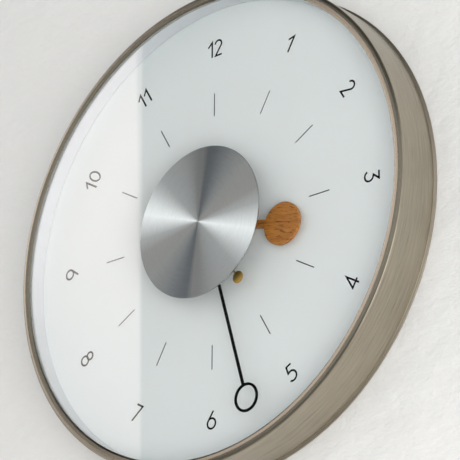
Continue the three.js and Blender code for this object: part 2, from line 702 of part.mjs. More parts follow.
function addTrain() {
  const at = (geometry, [x, z]) => geometry.translate(x, 0, z);
  const pivot = SOCKET_DEPTH - 0.2;
  const hubFront = trainFront + GAP / 2;
  const hubBack = trainBack - GAP / 2;

  // Seconds pinion and wheel share the long arbor that carries the seconds hand.
  const secondPhase = 0;
  const arborTip = secondHandFront - COLLET.rise - GAP;
  const secondArbor = ring(0, SECOND_ARBOR_RADIUS, arborTip, hubBack, 12);
  const secondPivot = ring(0, PIVOT_RADIUS, hubBack - 0.1, hubBack + pivot, 12);
  const secondPinion = gear(TEETH.secondPinion, SECOND_TO_THIRD_MODULE, secondPhase, LAYER.secondPinion);
  const secondWheel = gear(TEETH.secondWheel, SECOND_WHEEL_MODULE, secondPhase, LAYER.secondWheel);
  addPiece("second_wheel", carved([secondArbor, secondPivot, secondPinion, secondWheel]), brass);

  const thirdPhase = meshedPhase(secondPhase, TEETH.secondPinion, TEETH.third, THIRD_DIRECTION);
  const thirdWheel = at(gear(TEETH.third, SECOND_TO_THIRD_MODULE, thirdPhase, LAYER.third), thirdAt);
  const thirdPinion = at(gear(TEETH.thirdPinion, centreModule, thirdPhase, LAYER.thirdPinion), thirdAt);
  const thirdStaff = staff(thirdAt, hubFront, hubBack, pivot, pivot);
  addPiece("third_wheel", carved([thirdWheel, thirdPinion, thirdStaff]), whitePlastic);

  // The centre wheel drives the cannon pinion through friction, so that the hands can be set.
  const centrePhase = meshedPhase(thirdPhase, TEETH.thirdPinion, TEETH.centre, THIRD_DIRECTION + 180);
  const centreShape = gearShape(TEETH.centre, centreModule, centrePhase);
  centreShape.holes.push(circleHole(0, 0, MINUTE_TUBE.radius + PLAY));
  addPiece("centre_wheel", plate(centreShape, ...layer(LAYER.centre), 5), whitePlastic);

  const cannonPhase = 0;
  const minuteTip = minuteHandFront - COLLET.rise - GAP;
  const cannonBack = trainFront + LAYER.secondPinion[0] - GAP;
  const cannonTube = ring(0, MINUTE_TUBE.radius, minuteTip, cannonBack, 16);
  const cannonTeeth = gear(TEETH.cannon, MOTION_MODULE, cannonPhase, LAYER.cannon);
  const cannonBore = ring(0, MINUTE_TUBE.bore, minuteTip - 1, cannonBack + 1, 12);
  addPiece("cannon_pinion", carved([cannonTube, cannonTeeth], [cannonBore]), brass);

  const reversePhase = meshedPhase(cannonPhase, TEETH.cannon, TEETH.reverse, REVERSE_DIRECTION);
  const reverseWheel = gear(TEETH.reverse, MOTION_MODULE, reversePhase, LAYER.reverse);
  const reversePinion = gear(TEETH.reversePinion, hourModule, reversePhase, LAYER.reversePinion);
  const reverseBore = ring(0, reversePost.radius + PLAY / 2, trainFront, reversePost.back + 1, 12);
  addPiece(
    "reverse_wheel",
    at(carved([reverseWheel, reversePinion], [reverseBore]), reverseAt),
    whitePlastic,
  );

  const hourPhase = meshedPhase(reversePhase, TEETH.reversePinion, TEETH.hour, REVERSE_DIRECTION + 180);
  const hourTip = hourHandFront - COLLET.rise - GAP;
  const hourTeeth = gear(TEETH.hour, hourModule, hourPhase, LAYER.hour);
  const [, hourWheelBack] = layer(LAYER.hour);
  const hourTube = ring(0, HOUR_TUBE.radius, hourTip, hourWheelBack, 20);
  const hourBore = ring(0, HOUR_TUBE.bore, hourTip - 1, hourWheelBack + 1, 20);
  addPiece("hour_wheel", carved([hourTeeth, hourTube], [hourBore]), whitePlastic);

  const intermediatePhase = meshedPhase(
    secondPhase, TEETH.secondWheel, TEETH.intermediatePinion, INTERMEDIATE_DIRECTION,
  );
  const pinion = gear(
    TEETH.intermediatePinion, SECOND_WHEEL_MODULE, intermediatePhase, LAYER.intermediatePinion,
  );
  const wheel = gear(TEETH.intermediate, ROTOR_MODULE, intermediatePhase, LAYER.intermediate);
  const shortFront = plateBack + GAP / 2;
  addPiece(
    "intermediate_wheel",
    carved([
      at(pinion, intermediateAt),
      at(wheel, intermediateAt),
      staff(intermediateAt, shortFront, hubBack, pivot, pivot),
    ]),
    whitePlastic,
  );

  const rotorPhase = meshedPhase(intermediatePhase, TEETH.intermediate, TEETH.rotorPinion, ROTOR_DIRECTION);
  addPiece(
    "rotor",
    carved([
      at(gear(TEETH.rotorPinion, ROTOR_MODULE, rotorPhase, LAYER.rotorPinion), rotorAt),
      post(...rotorAt, ROTOR.magnetRadius, ...layer(LAYER.magnet), 24),
      staff(rotorAt, shortFront, hubBack, pivot, pivot),
    ]),
    magnetFerrite,
  );

  const knobPhase = meshedPhase(reversePhase, TEETH.reverse, TEETH.knob, KNOB_DIRECTION);
  const headFront = trainBack - KNOB.headHeight + KNOB.proud + GAP;
  addPiece(
    "setting_knob",
    carved([
      at(gear(TEETH.knob, MOTION_MODULE, knobPhase, LAYER.knob), knobAt),
      staff(knobAt, hubFront, headFront + 0.1, pivot, 0),
      post(...knobAt, KNOB.headRadius, headFront, headFront + KNOB.headHeight, 24),
    ]),
    blackPlastic,
  );
}

// ------------------------------------------------ motor, circuit and cell

function addMotor() {
  const { left, right, armWidth, barBottom, barTop, eyeRadius, top } = STATOR;
  const stator = layer(LAYER.stator);
  const coreBack = stator[0] - GAP;
  const coreFront = coreBack - CORE.thickness;
  const middleZ = top - CORE.width / 2;
  const middleY = (coreFront + coreBack) / 2;
  addPiece(
    "stator_plate",
    carved(
      [
        plate(rectangle(left, right, barBottom, barTop), ...stator),
        plate(rectangle(left, left + armWidth, barBottom, top), ...stator),
        plate(rectangle(right - armWidth, right, barBottom, top), ...stator),
        post(...rotorAt, eyeRadius, ...stator, 24),
      ],
      [
        post(...rotorAt, ROTOR.magnetRadius + ROTOR.statorGap, stator[0] - 1, stator[1] + 1, 24),
        post(...intermediateAt, HUB_RADIUS + PLAY, stator[0] - 1, stator[1] + 1, 12),
      ],
    ),
    zinc,
  );
  addPiece("coil_core", box(left, right, top - CORE.width, top, coreFront, coreBack), zinc);

  const bobbinLeft = left + armWidth + GAP;
  const bobbinRight = right - armWidth - GAP;
  const around = (grow, x0, x1) =>
    box(
      x0,
      x1,
      middleZ - CORE.width / 2 - grow,
      middleZ + CORE.width / 2 + grow,
      middleY - CORE.thickness / 2 - grow,
      middleY + CORE.thickness / 2 + grow,
    );
  const flangeGrow = (COIL.height - CORE.width) / 2;
  const flange = (x0) =>
    box(
      x0,
      x0 + COIL.flange,
      middleZ - COIL.height / 2,
      middleZ + COIL.height / 2,
      middleY - COIL.reach,
      trainBack - GAP, // the flanges rest on the back shell
    );
  addPiece(
    "coil_bobbin",
    carved(
      [
        around(GAP + COIL.wall, bobbinLeft, bobbinRight),
        flange(bobbinLeft),
        flange(bobbinRight - COIL.flange),
      ],
      [around(GAP, bobbinLeft - 1, bobbinRight + 1)],
    ),
    whitePlastic,
  );
  const windingLeft = bobbinLeft + COIL.flange + GAP;
  const windingRight = bobbinRight - COIL.flange - GAP;
  addPiece(
    "coil_winding",
    carved(
      [around(flangeGrow - 2 * GAP, windingLeft, windingRight)],
      [around(GAP + COIL.wall + GAP, windingLeft - 1, windingRight + 1)],
    ),
    copper,
  );
}

function addCircuit() {
  const board = rectangle(BOARD.left, BOARD.right, BOARD.bottom, BOARD.top);
  board.holes.push(circleHole(...POSTS[0], POST.radius + GAP));
  const [boardFront, boardBack] = layer(LAYER.board);
  addPiece("circuit_board", plate(board, boardFront, boardBack, 8), boardLacquer);
  const can = new THREE.CylinderGeometry(CRYSTAL.radius, CRYSTAL.radius, CRYSTAL.length, 14);
  can.rotateX(Math.PI / 2).translate(CRYSTAL.x, boardFront - GAP - CRYSTAL.radius, CRYSTAL.z);
  addPiece("quartz_crystal", can, zinc);
}

function addCell() {
  const cellY = trainFront + GAP + CELL.radius;
  const wholeLength = CELL.length + CELL.nubLength;
  const { radius, nubRadius, nubLength } = CELL;
  const outline = [
    [0, 0],
    [radius - 0.5, 0],
    [radius, 0.5],
    [radius, CELL.length - 0.5],
    [radius - 0.5, CELL.length],
    [nubRadius, CELL.length],
    [nubRadius, CELL.length + nubLength],
    [0, CELL.length + nubLength],
  ];
  const points = outline.map(([r, y]) => new THREE.Vector2(r, y - wholeLength / 2));
  // The cell lies across the bay with its nub to the right.
  const cell = new THREE.LatheGeometry(points, 24).rotateZ(-Math.PI / 2).translate(0, cellY, cellCentreZ);
  addPiece("cell_aa", cell, cellJacket);

  // Each contact is a folded strip: one leaf by the wall of the bay, one by the end of the cell.
  const { thickness, width, height } = CONTACT;
  const foldFront = cellY - height / 2;
  const low = cellCentreZ - width / 2;
  const leaf = (x0, x1, back) =>
    box(Math.min(x0, x1), Math.max(x0, x1), low, low + width, foldFront, back);
  for (const [name, side] of [["contact_plus", 1], ["contact_minus", -1]]) {
    const wallX = side * (insideRight - GAP);
    const cellX = side * (wholeLength / 2 + GAP);
    const strips = [
      leaf(wallX, wallX - side * thickness, foldFront + height),
      leaf(cellX, cellX + side * thickness, foldFront + height),
      leaf(cellX, wallX, foldFront + thickness),
    ];
    addPiece(name, carved(strips), zinc);
  }
}

// ------------------------------------------------ assembly

addCase();
addDisc();
addBack();
addBracketsAndScrews();
addFixings();
addHourHand();
addMinuteHand();
addSecondHand();
addFrontShell();
addBackShell();
addMiddlePlate();
addTrain();
addMotor();
addCircuit();
addCell();

export default clock;
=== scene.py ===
"""Finished look of a round metal wall clock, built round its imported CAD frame.

The frame gives every place: the axis of the hands is the line x = 0, z = 0, the wall is the
plane y = 0 and the dial faces -Y. Lengths in this file are millimetres until a mesh is made,
and every mesh is in metres.
"""

import logging
import math
from dataclasses import dataclass, field
from enum import Enum
from typing import ClassVar, Iterable, Sequence

import bmesh
import bpy
from mathutils import Matrix, Vector


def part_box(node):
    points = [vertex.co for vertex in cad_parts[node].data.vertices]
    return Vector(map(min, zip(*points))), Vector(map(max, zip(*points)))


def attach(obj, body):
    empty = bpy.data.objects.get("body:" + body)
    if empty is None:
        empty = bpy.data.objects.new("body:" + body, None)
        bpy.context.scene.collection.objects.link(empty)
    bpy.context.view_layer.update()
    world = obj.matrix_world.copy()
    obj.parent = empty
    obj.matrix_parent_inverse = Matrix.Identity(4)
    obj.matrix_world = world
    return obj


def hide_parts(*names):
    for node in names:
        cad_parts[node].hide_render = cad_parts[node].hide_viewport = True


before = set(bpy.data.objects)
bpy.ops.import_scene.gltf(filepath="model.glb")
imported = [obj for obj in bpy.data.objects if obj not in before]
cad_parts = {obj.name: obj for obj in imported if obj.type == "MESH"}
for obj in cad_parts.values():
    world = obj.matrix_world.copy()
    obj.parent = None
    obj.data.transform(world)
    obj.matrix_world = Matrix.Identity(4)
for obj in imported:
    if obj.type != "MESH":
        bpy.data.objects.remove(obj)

log = logging.getLogger("clock")

Point = tuple[float, float]
Colour = tuple[float, float, float]

MM = 0.001
ROUND_STEPS = 288  # sides of the big turned rings
SMALL_STEPS = 72  # sides of the small turned parts
HOLE_STEPS = 24  # sides of a screw's hole
HOUR_TURN = 30.0  # degrees from one hour to the next
NOISE_LOW = 0.3  # noise seldom goes below this
NOISE_HIGH = 0.7  # noise seldom goes above this
ON_AXIS = 1e-6  # a point with a smaller radius, in millimetres, lies on the axis
MERGE = 2e-6  # points nearer to each other than this, in metres, become one


# ---------------------------------------------------------------- shader nodes


def srgb(red: int, green: int, blue: int) -> Colour:
    """Linear colour of an 8-bit screen colour.

    Args:
        red: Red, 0 to 255.
        green: Green, 0 to 255.
        blue: Blue, 0 to 255.

    Returns:
        The three linear values.
    """

    def linear(value: int) -> float:
        """Linear value of one channel, by the curve of the sRGB standard."""
        share = value / 255
        return share / 12.92 if share <= 0.04045 else ((share + 0.055) / 1.055) ** 2.4

    return (linear(red), linear(green), linear(blue))


def shade(colour: Colour, factor: float) -> Colour:
    """The colour made lighter or darker by a factor."""
    return tuple(min(1.0, part * factor) for part in colour)


class Sheet:
    """Adds and joins the nodes of one material."""

    def __init__(self, name: str) -> None:
        """Starts an empty material.

        Args:
            name: Name of the material.
        """
        self.material = bpy.data.materials.new(name)
        self.material.use_nodes = True
        self.tree = self.material.node_tree
        self.tree.nodes.clear()
        self.output = self.add("ShaderNodeOutputMaterial")

    @classmethod
    def of_world(cls, world: bpy.types.World) -> "Sheet":
        """A sheet for a world's own nodes, emptied first.

        Args:
            world: The world.

        Returns:
            The sheet.
        """
        sheet = cls.__new__(cls)
        sheet.tree = world.node_tree
        sheet.tree.nodes.clear()
        sheet.output = sheet.add("ShaderNodeOutputWorld")
        return sheet

    def add(self, kind: str, **values: object) -> bpy.types.Node:
        """Adds a node and sets its attributes.

        Args:
            kind: Blender's name of the node type.
            **values: Attributes of the node.

        Returns:
            The node.
        """
        node = self.tree.nodes.new(kind)
        for key, value in values.items():
            setattr(node, key, value)
        return node

    def set(self, node: bpy.types.Node, name: str | int, value: object) -> None:
        """Joins a socket to an input, or sets the input's own value.

        Args:
            node: Node whose input is set.
            name: Input's name or number.
            value: An output socket, a number, a vector or a colour.
        """
        socket = node.inputs[name]
        if isinstance(value, bpy.types.NodeSocket):
            self.tree.links.new(value, socket)
        elif isinstance(value, tuple) and socket.type == "RGBA" and len(value) == 3:
            socket.default_value = (*value, 1.0)
        else:
            socket.default_value = value

    def math(self, operation: str, *values: object, clamp: bool = False) -> bpy.types.NodeSocket:
        """Adds a Math node.

        Args:
            operation: Blender's name of the operation.
            *values: Numbers or sockets that it takes, in order.
            clamp: True if the result stays between 0 and 1.

        Returns:
            The result's socket.
        """
        node = self.add("ShaderNodeMath", operation=operation, use_clamp=clamp)
        for index, value in enumerate(values):
            self.set(node, index, value)
        return node.outputs[0]

    def weighted(self, *parts: tuple[bpy.types.NodeSocket, float]) -> bpy.types.NodeSocket:
        """Adds up values, each multiplied by its own weight.

        Args:
            *parts: Each value's socket and its weight.

        Returns:
            The sum's socket.
        """
        *others, (value, weight) = parts
        total = self.math("MULTIPLY", value, weight)
        for value, weight in reversed(others):
            total = self.math("MULTIPLY_ADD", value, weight, total)
        return total

    def coordinates(self) -> bpy.types.NodeSocket:
        """The point on the object's own mesh, in metres."""
        return self.add("ShaderNodeTexCoord").outputs["Object"]

    def stretched(self, scale: Sequence[float]) -> bpy.types.NodeSocket:
        """The point on the object's own mesh with each axis multiplied by its own scale.

        Args:
            scale: Scale along x, y and z.

        Returns:
            The vector socket.
        """
        node = self.add("ShaderNodeMapping")
        self.set(node, "Vector", self.coordinates())
        self.set(node, "Scale", tuple(scale))
        return node.outputs[0]

    def turned(self, around: float, across: float) -> bpy.types.NodeSocket:
        """A coordinate that changes slowly round the clock's axis and quickly across it.

        Args:
            around: How many features there are round the axis, roughly.
            across: Features per metre of radius and of depth.

        Returns:
            The vector socket.
        """
        parts = self.add("ShaderNodeSeparateXYZ")
        self.set(parts, 0, self.coordinates())
        flat = self.add("ShaderNodeCombineXYZ")
        self.set(flat, 0, parts.outputs[0])
        self.set(flat, 2, parts.outputs[2])
        length = self.add("ShaderNodeVectorMath", operation="LENGTH")
        self.set(length, 0, flat.outputs[0])
        unit = self.add("ShaderNodeVectorMath", operation="NORMALIZE")
        self.set(unit, 0, flat.outputs[0])
        slow = self.add("ShaderNodeVectorMath", operation="SCALE")
        self.set(slow, 0, unit.outputs[0])
        self.set(slow, "Scale", around)
        out = self.add("ShaderNodeSeparateXYZ")
        self.set(out, 0, slow.outputs[0])
        depth = self.math("ADD", length.outputs["Value"], parts.outputs[1])
        result = self.add("ShaderNodeCombineXYZ")
        self.set(result, 0, out.outputs[0])
        self.set(result, 1, self.math("MULTIPLY", depth, across))
        self.set(result, 2, out.outputs[2])
        return result.outputs[0]

    def noise(self, vector: bpy.types.NodeSocket, scale: float, detail: float = 3.0,
              roughness: float = 0.55) -> bpy.types.NodeSocket:
        """Adds noise between 0 and 1.

        Args:
            vector: Where the noise is read.
            scale: Features in each unit of the vector.
            detail: Number of finer layers.
            roughness: Strength of each finer layer beside the one before.

        Returns:
            The noise's socket.
        """
        node = self.add("ShaderNodeTexNoise")
        self.set(node, "Vector", vector)
        self.set(node, "Scale", scale)
        self.set(node, "Detail", detail)
        self.set(node, "Roughness", roughness)
        return node.outputs["Fac"]

    def ramp(self, value: bpy.types.NodeSocket,
             stops: Iterable[tuple[float, Colour]]) -> bpy.types.NodeSocket:
        """Colours a value with a ramp.

        Args:
            value: Socket between 0 and 1.
            stops: Position and linear colour of each stop, in order.

        Returns:
            The colour socket.
        """
        node = self.add("ShaderNodeValToRGB")
        points = node.color_ramp.elements
        for index, (position, colour) in enumerate(stops):
            point = points[index] if index < len(points) else points.new(position)
            point.position = position
            point.color = (*colour, 1.0)
        self.set(node, 0, value)
        return node.outputs[0]

    def spread(self, value: bpy.types.NodeSocket, low: float, high: float) -> bpy.types.NodeSocket:
        """Maps noise from its usual range onto another.

        Args:
            value: The noise's socket.
            low: Result where the noise is low.
            high: Result where the noise is high.

        Returns:
            The result's socket.
        """
        node = self.add("ShaderNodeMapRange", clamp=True)
        for name, number in (("From Min", NOISE_LOW), ("From Max", NOISE_HIGH), ("To Min", low),
                             ("To Max", high)):
            self.set(node, name, number)
        self.set(node, "Value", value)
        return node.outputs[0]

    def bump(self, height: bpy.types.NodeSocket, distance: float, strength: float = 1.0,
             normal: bpy.types.NodeSocket | None = None) -> bpy.types.NodeSocket:
        """A normal raised by a height.

        Args:
            height: Socket between 0 and 1.
            distance: Height of the full value, in metres.
            strength: How much of the bump is used.
            normal: Normal that the bump is laid over.

        Returns:
            The normal socket.
        """
        node = self.add("ShaderNodeBump")
        self.set(node, "Height", height)
        self.set(node, "Distance", distance)
        self.set(node, "Strength", strength)
        if normal is not None:
            self.set(node, "Normal", normal)
        return node.outputs[0]

    def principled(self, **values: object) -> bpy.types.Node:
        """Adds the main shader, sets its inputs and joins it to the output.

        Args:
            **values: Inputs by name, with _ for a space.

        Returns:
            The shader node.
        """
        node = self.add("ShaderNodeBsdfPrincipled")
        for key, value in values.items():
            self.set(node, key.replace("_", " "), value)
        self.tree.links.new(node.outputs[0], self.output.inputs["Surface"])
        return node


# ---------------------------------------------------------------- finishes

MADE: dict[str, bpy.types.Material] = {}  # each finish's material, by the finish's name


@dataclass(frozen=True)
class Finish:
    """A surface finish that makes its own material once.

    Attributes:
        name: Name of the finish.
    """

    name: str

    def shade(self, sheet: Sheet) -> None:
        """Draws the finish into an empty material."""
        raise NotImplementedError

    def material(self) -> bpy.types.Material:
        """Makes the finish's material the first time it is asked for.

        Returns:
            The material.
        """
        if self.name not in MADE:
            sheet = Sheet(f"{self.name}_finish")
            self.shade(sheet)
            MADE[self.name] = sheet.material
        return MADE[self.name]


class Lay(Enum):
    """How the scratches of a brushed metal lie."""

    ROUND = "round"  # circles round the axis of the hands
    STRAIGHT = "straight"  # along x


@dataclass(frozen=True)
class BrushedMetal(Finish):
    """Metal brushed with fine parallel scratches.

    Attributes:
        colour: Colour of the bare metal.
        roughness: Middle roughness.
        lay: Direction of the scratches.
        scratches: Scratches per metre across their direction.
        contrast: How far the colour swings between scratches.
        depth: Depth of a scratch in metres.
        anisotropy: Stretch of the highlight across the scratches.
        wedges: Painted reflection, light and dark wedges over half a turn, alike on the
        other half, fixed in the colour in place of the spun metal's highlight fans: direction in degrees,
        brightness, warmth.
    """

    colour: Colour
    roughness: float
    lay: Lay = Lay.ROUND
    scratches: float = 2600.0
    contrast: float = 0.12
    depth: float = 0.000012
    anisotropy: float = 0.0
    wedges: tuple[tuple[float, float, float], ...] = ()
    BROAD: ClassVar[float] = 0.2  # broad scratches for each fine one
    FINE_ALONG: ClassVar[float] = 0.02  # change along a fine scratch for each change across it
    BROAD_ALONG: ClassVar[float] = 0.01  # the same along a broad one
    HALF_TURN: ClassVar[float] = 180.0  # degrees after which the painted reflection wedges repeat

    def shade(self, sheet: Sheet) -> None:
        """Draws long fine scratches, a broader cloudiness and small bare marks, and any painted reflection.

        Args:
            sheet: The empty material.
        """
        many = self.scratches
        few = many * self.BROAD
        if self.lay is Lay.ROUND:
            fine_at = sheet.turned(around=9.0, across=many)
            broad_at = sheet.turned(around=5.0, across=few)
        else:
            fine_at = sheet.stretched((many * self.FINE_ALONG, many, many))
            broad_at = sheet.stretched((many * self.BROAD_ALONG, few, few))
        fine = sheet.noise(fine_at, scale=1.0, detail=4.0, roughness=0.7)
        broad = sheet.noise(broad_at, scale=1.0, detail=2.0)
        cloud = sheet.noise(sheet.coordinates(), scale=14.0, detail=3.0)
        mixed = sheet.weighted((fine, 0.5), (broad, 0.3), (cloud, 0.2))
        low = shade(self.colour, 1 - self.contrast)
        high = shade(self.colour, 1 + self.contrast)
        colour = sheet.ramp(mixed, ((NOISE_LOW, low), (0.5, self.colour), (NOISE_HIGH, high)))
        # painted reflection: light and dark wedges multiplied into the metal's colour
        if self.wedges:
            colour = self.fanned(sheet, colour)
        shader = sheet.principled(
            Base_Color=colour, Metallic=1.0,
            Roughness=sheet.spread(mixed, self.roughness * 0.8, self.roughness * 1.25),
            Normal=sheet.bump(fine, self.depth, strength=0.6),
        )
        if self.anisotropy > 0:
            sheet.set(shader, "Anisotropic", self.anisotropy)
            sheet.set(shader, "Anisotropic Rotation", 0.25)
            tangent = sheet.add("ShaderNodeTangent", direction_type="RADIAL", axis="Y")
            sheet.set(shader, "Tangent", tangent.outputs[0])

    def fanned(self, sheet: Sheet, colour: bpy.types.NodeSocket) -> bpy.types.NodeSocket:
        """Multiplies a colour by painted reflection: light and dark wedges round the axis in place of
        highlight fans.

        Args:
            sheet: The shader being drawn.
            colour: Colour of the metal before the painted reflection.

        Returns:
            The colour socket.
        """
        parts = sheet.add("ShaderNodeSeparateXYZ")
        sheet.set(parts, 0, sheet.coordinates())
        angle = sheet.math("ARCTAN2", parts.outputs[2], parts.outputs[0])
        position = sheet.math("FRACT", sheet.math("DIVIDE", angle, math.pi))
        stops = [(degrees / self.HALF_TURN, (level * (1 + warmth), level, level * (1 - warmth)))
                 for degrees, level, warmth in self.wedges]
        product = sheet.add("ShaderNodeVectorMath", operation="MULTIPLY")
        sheet.set(product, 0, colour)
        sheet.set(product, 1, sheet.ramp(position, stops))
        return product.outputs[0]


@dataclass(frozen=True)
class SmoothMetal(Finish):
    """Polished, plated or satin metal with faint handling marks.

    Attributes:
        colour: Colour of the metal.
        roughness: Middle roughness.
        grain: Grain per metre.
    """

    colour: Colour
    roughness: float
    grain: float = 900.0

    def shade(self, sheet: Sheet) -> None:
        """Draws a fine grain with slow clouding under it.

        Args:
            sheet: The empty material.
        """
        grain = sheet.noise(sheet.coordinates(), scale=self.grain, detail=4.0)
        cloud = sheet.noise(sheet.coordinates(), scale=self.grain * 0.04, detail=2.0)
        mixed = sheet.weighted((grain, 0.5), (cloud, 0.5))
        sheet.principled(
            Base_Color=sheet.ramp(mixed, ((NOISE_LOW, shade(self.colour, 0.86)),
                                          (NOISE_HIGH, shade(self.colour, 1.1)))),
            Metallic=1.0,
            Roughness=sheet.spread(mixed, self.roughness * 0.75, self.roughness * 1.3),
            Normal=sheet.bump(grain, distance=0.000008, strength=0.5),
        )


@dataclass(frozen=True)
class Lacquer(Finish):
    """Sprayed paint or lacquer with a fine orange-peel surface.

    Attributes:
        colour: Colour of the paint.
        roughness: Middle roughness.
        peel: Height of the orange peel in metres.
        tint: How far the colour drifts over the surface.
        gloss: Strength of its mirroring, 0.5 for a common lacquer.
    """

    colour: Colour
    roughness: float
    peel: float = 0.00001
    tint: float = 0.02
    gloss: float = 0.5

    def shade(self, sheet: Sheet) -> None:
        """Draws a slow colour drift, a fine speck and the peel.

        Args:
            sheet: The empty material.
        """
        drift = sheet.noise(sheet.coordinates(), scale=9.0, detail=2.0)
        speck = sheet.noise(sheet.coordinates(), scale=2200.0, detail=2.0)
        peel = sheet.noise(sheet.coordinates(), scale=420.0, detail=2.0)
        mixed = sheet.weighted((drift, 0.6), (speck, 0.4))
        sheet.principled(
            Base_Color=sheet.ramp(mixed, ((NOISE_LOW, shade(self.colour, 1 - self.tint)),
                                          (NOISE_HIGH, shade(self.colour, 1 + self.tint)))),
            Roughness=sheet.spread(speck, self.roughness * 0.9, self.roughness * 1.15),
            Normal=sheet.bump(peel, self.peel, strength=0.5), Specular_IOR_Level=self.gloss,
        )


@dataclass(frozen=True)
class Moulded(Finish):
    """Injection-moulded plastic or rubber with a spark-eroded texture.

    Attributes:
        colour: Colour of the plastic.
        roughness: Middle roughness.
        texture: Grains of the texture per metre.
        depth: Depth of the texture in metres.
    """

    colour: Colour
    roughness: float
    texture: float = 1600.0
    depth: float = 0.00003

    def shade(self, sheet: Sheet) -> None:
        """Draws the grain, slight flow marks and rubbed lighter patches.

        Args:
            sheet: The empty material.
        """
        grain = sheet.noise(sheet.coordinates(), scale=self.texture, detail=3.0)
        flow = sheet.noise(sheet.stretched((12.0, 40.0, 60.0)), scale=1.0, detail=3.0)
        mixed = sheet.weighted((grain, 0.4), (flow, 0.6))
        sheet.principled(
            Base_Color=sheet.ramp(mixed, ((NOISE_LOW, shade(self.colour, 0.85)), (0.52, self.colour),
                                          (NOISE_HIGH, shade(self.colour, 1.25)))),
            Roughness=sheet.spread(mixed, self.roughness * 0.85, self.roughness * 1.15),
            Normal=sheet.bump(grain, self.depth, strength=0.7),
        )


@dataclass(frozen=True)
class Wood(Finish):
    """Oiled fine-grained hardwood whose grain runs along z.

    Attributes:
        light: Colour between the grain lines.
        dark: Colour of the grain lines.
        pore: Colour of the pores.
        roughness: Middle roughness.
    """

    light: Colour
    dark: Colour
    pore: Colour
    roughness: float = 0.46
    MIX_FACTOR: ClassVar[int] = 0  # a Mix node's inputs and output for colours, by number
    MIX_FIRST: ClassVar[int] = 6
    MIX_SECOND: ClassVar[int] = 7
    MIX_RESULT: ClassVar[int] = 2

    def shade(self, sheet: Sheet) -> None:
        """Draws wavy growth bands, short dark pores and a silky bump.

        Args:
            sheet: The empty material.
        """
        band = sheet.noise(sheet.stretched((330.0, 200.0, 26.0)), scale=1.0, detail=4.0, roughness=0.62)
        fibre = sheet.noise(sheet.stretched((1900.0, 1200.0, 90.0)), scale=1.0, detail=3.0, roughness=0.6)
        pores = sheet.noise(sheet.stretched((1500.0, 1500.0, 150.0)), scale=1.0, detail=1.0)
        mixed = sheet.weighted((band, 0.65), (fibre, 0.35))
        middle = tuple((a + b) / 2 for a, b in zip(self.light, self.dark))
        colour = sheet.ramp(mixed, ((0.36, self.dark), (0.47, middle), (0.6, self.light)))
        mask = sheet.ramp(pores, ((0.6, (0.0, 0.0, 0.0)), (0.68, (1.0, 1.0, 1.0))))
        blend = sheet.add("ShaderNodeMix", data_type="RGBA")
        sheet.set(blend, self.MIX_FACTOR, mask)
        sheet.set(blend, self.MIX_FIRST, colour)
        sheet.set(blend, self.MIX_SECOND, (*self.pore, 1.0))
        sheet.principled(
            Base_Color=blend.outputs[self.MIX_RESULT],
            Roughness=sheet.spread(mixed, self.roughness * 1.15, self.roughness * 0.85),
            Normal=sheet.bump(mixed, distance=0.00006, strength=0.6),
        )


@dataclass(frozen=True)
class Winding(Finish):
    """Fine lacquered wire wound side by side.

    Attributes:
        colour: Colour of the wire.
        turns: Turns of wire per metre.
    """

    colour: Colour
    turns: float = 5200.0
    WAVES: ClassVar[float] = 20.0  # bands that a Wave node draws in each unit of its vector

    def shade(self, sheet: Sheet) -> None:
        """Draws the turns as a wave and a little uneven lacquer.

        Args:
            sheet: The empty material.
        """
        wave = sheet.add("ShaderNodeTexWave", wave_type="BANDS", bands_direction="X")
        sheet.set(wave, "Vector", sheet.coordinates())
        sheet.set(wave, "Scale", self.turns / self.WAVES)
        sheet.set(wave, "Distortion", 0.6)
        turns = wave.outputs["Fac"]
        cloud = sheet.noise(sheet.coordinates(), scale=300.0, detail=3.0)
        sheet.principled(
            Base_Color=sheet.ramp(turns, ((0.0, shade(self.colour, 0.35)), (0.6, self.colour))),
            Metallic=0.85,
            Roughness=sheet.spread(cloud, low=0.24, high=0.42),
            Normal=sheet.bump(turns, distance=0.00004),
        )


@dataclass(frozen=True)
class Glass(Finish):
    """Clear float glass that lets light through to what is behind it.

    Attributes:
        tint: Slight colour of the glass.
        ior: Refractive index.
    """

    tint: Colour = (0.985, 0.995, 0.99)
    ior: float = 1.5

    def shade(self, sheet: Sheet) -> None:
        """Mixes clear glass with a transparent shader that lets shadow rays through.

        Args:
            sheet: The empty material.
        """
        smear = sheet.noise(sheet.coordinates(), scale=16.0, detail=3.0)
        glass = sheet.add("ShaderNodeBsdfPrincipled")
        stops = ((NOISE_LOW, shade(self.tint, 0.99)), (NOISE_HIGH, self.tint))
        sheet.set(glass, "Base Color", sheet.ramp(smear, stops))
        sheet.set(glass, "Transmission Weight", 1.0)
        sheet.set(glass, "IOR", self.ior)
        sheet.set(glass, "Roughness", sheet.spread(smear, low=0.0, high=0.0012))
        clear = sheet.add("ShaderNodeBsdfTransparent")
        path = sheet.add("ShaderNodeLightPath")
        mix = sheet.add("ShaderNodeMixShader")
        sheet.set(mix, 0, path.outputs["Is Shadow Ray"])
        sheet.set(mix, 1, glass.outputs[0])
        sheet.set(mix, 2, clear.outputs[0])
        sheet.tree.links.new(mix.outputs[0], sheet.output.inputs["Surface"])


@dataclass(frozen=True)
class Circuit(Finish):
    """Lacquered circuit board with a pattern of tracks.

    Attributes:
        board: Colour of the board.
        track: Colour of the tracks.
    """

    board: Colour
    track: Colour

    def shade(self, sheet: Sheet) -> None:
        """Draws wandering tracks as the edges of cells.

        Args:
            sheet: The empty material.
        """
        cells = sheet.add("ShaderNodeTexVoronoi", feature="DISTANCE_TO_EDGE", distance="CHEBYCHEV")
        sheet.set(cells, "Vector", sheet.coordinates())
        sheet.set(cells, "Scale", 260.0)
        edge = cells.outputs["Distance"]
        glassy = sheet.noise(sheet.coordinates(), scale=700.0, detail=2.0)
        sheet.principled(
            Base_Color=sheet.ramp(edge, ((0.05, self.track), (0.09, self.board))),
            Roughness=sheet.spread(glassy, low=0.3, high=0.5),
            Normal=sheet.bump(edge, distance=0.00003),
        )


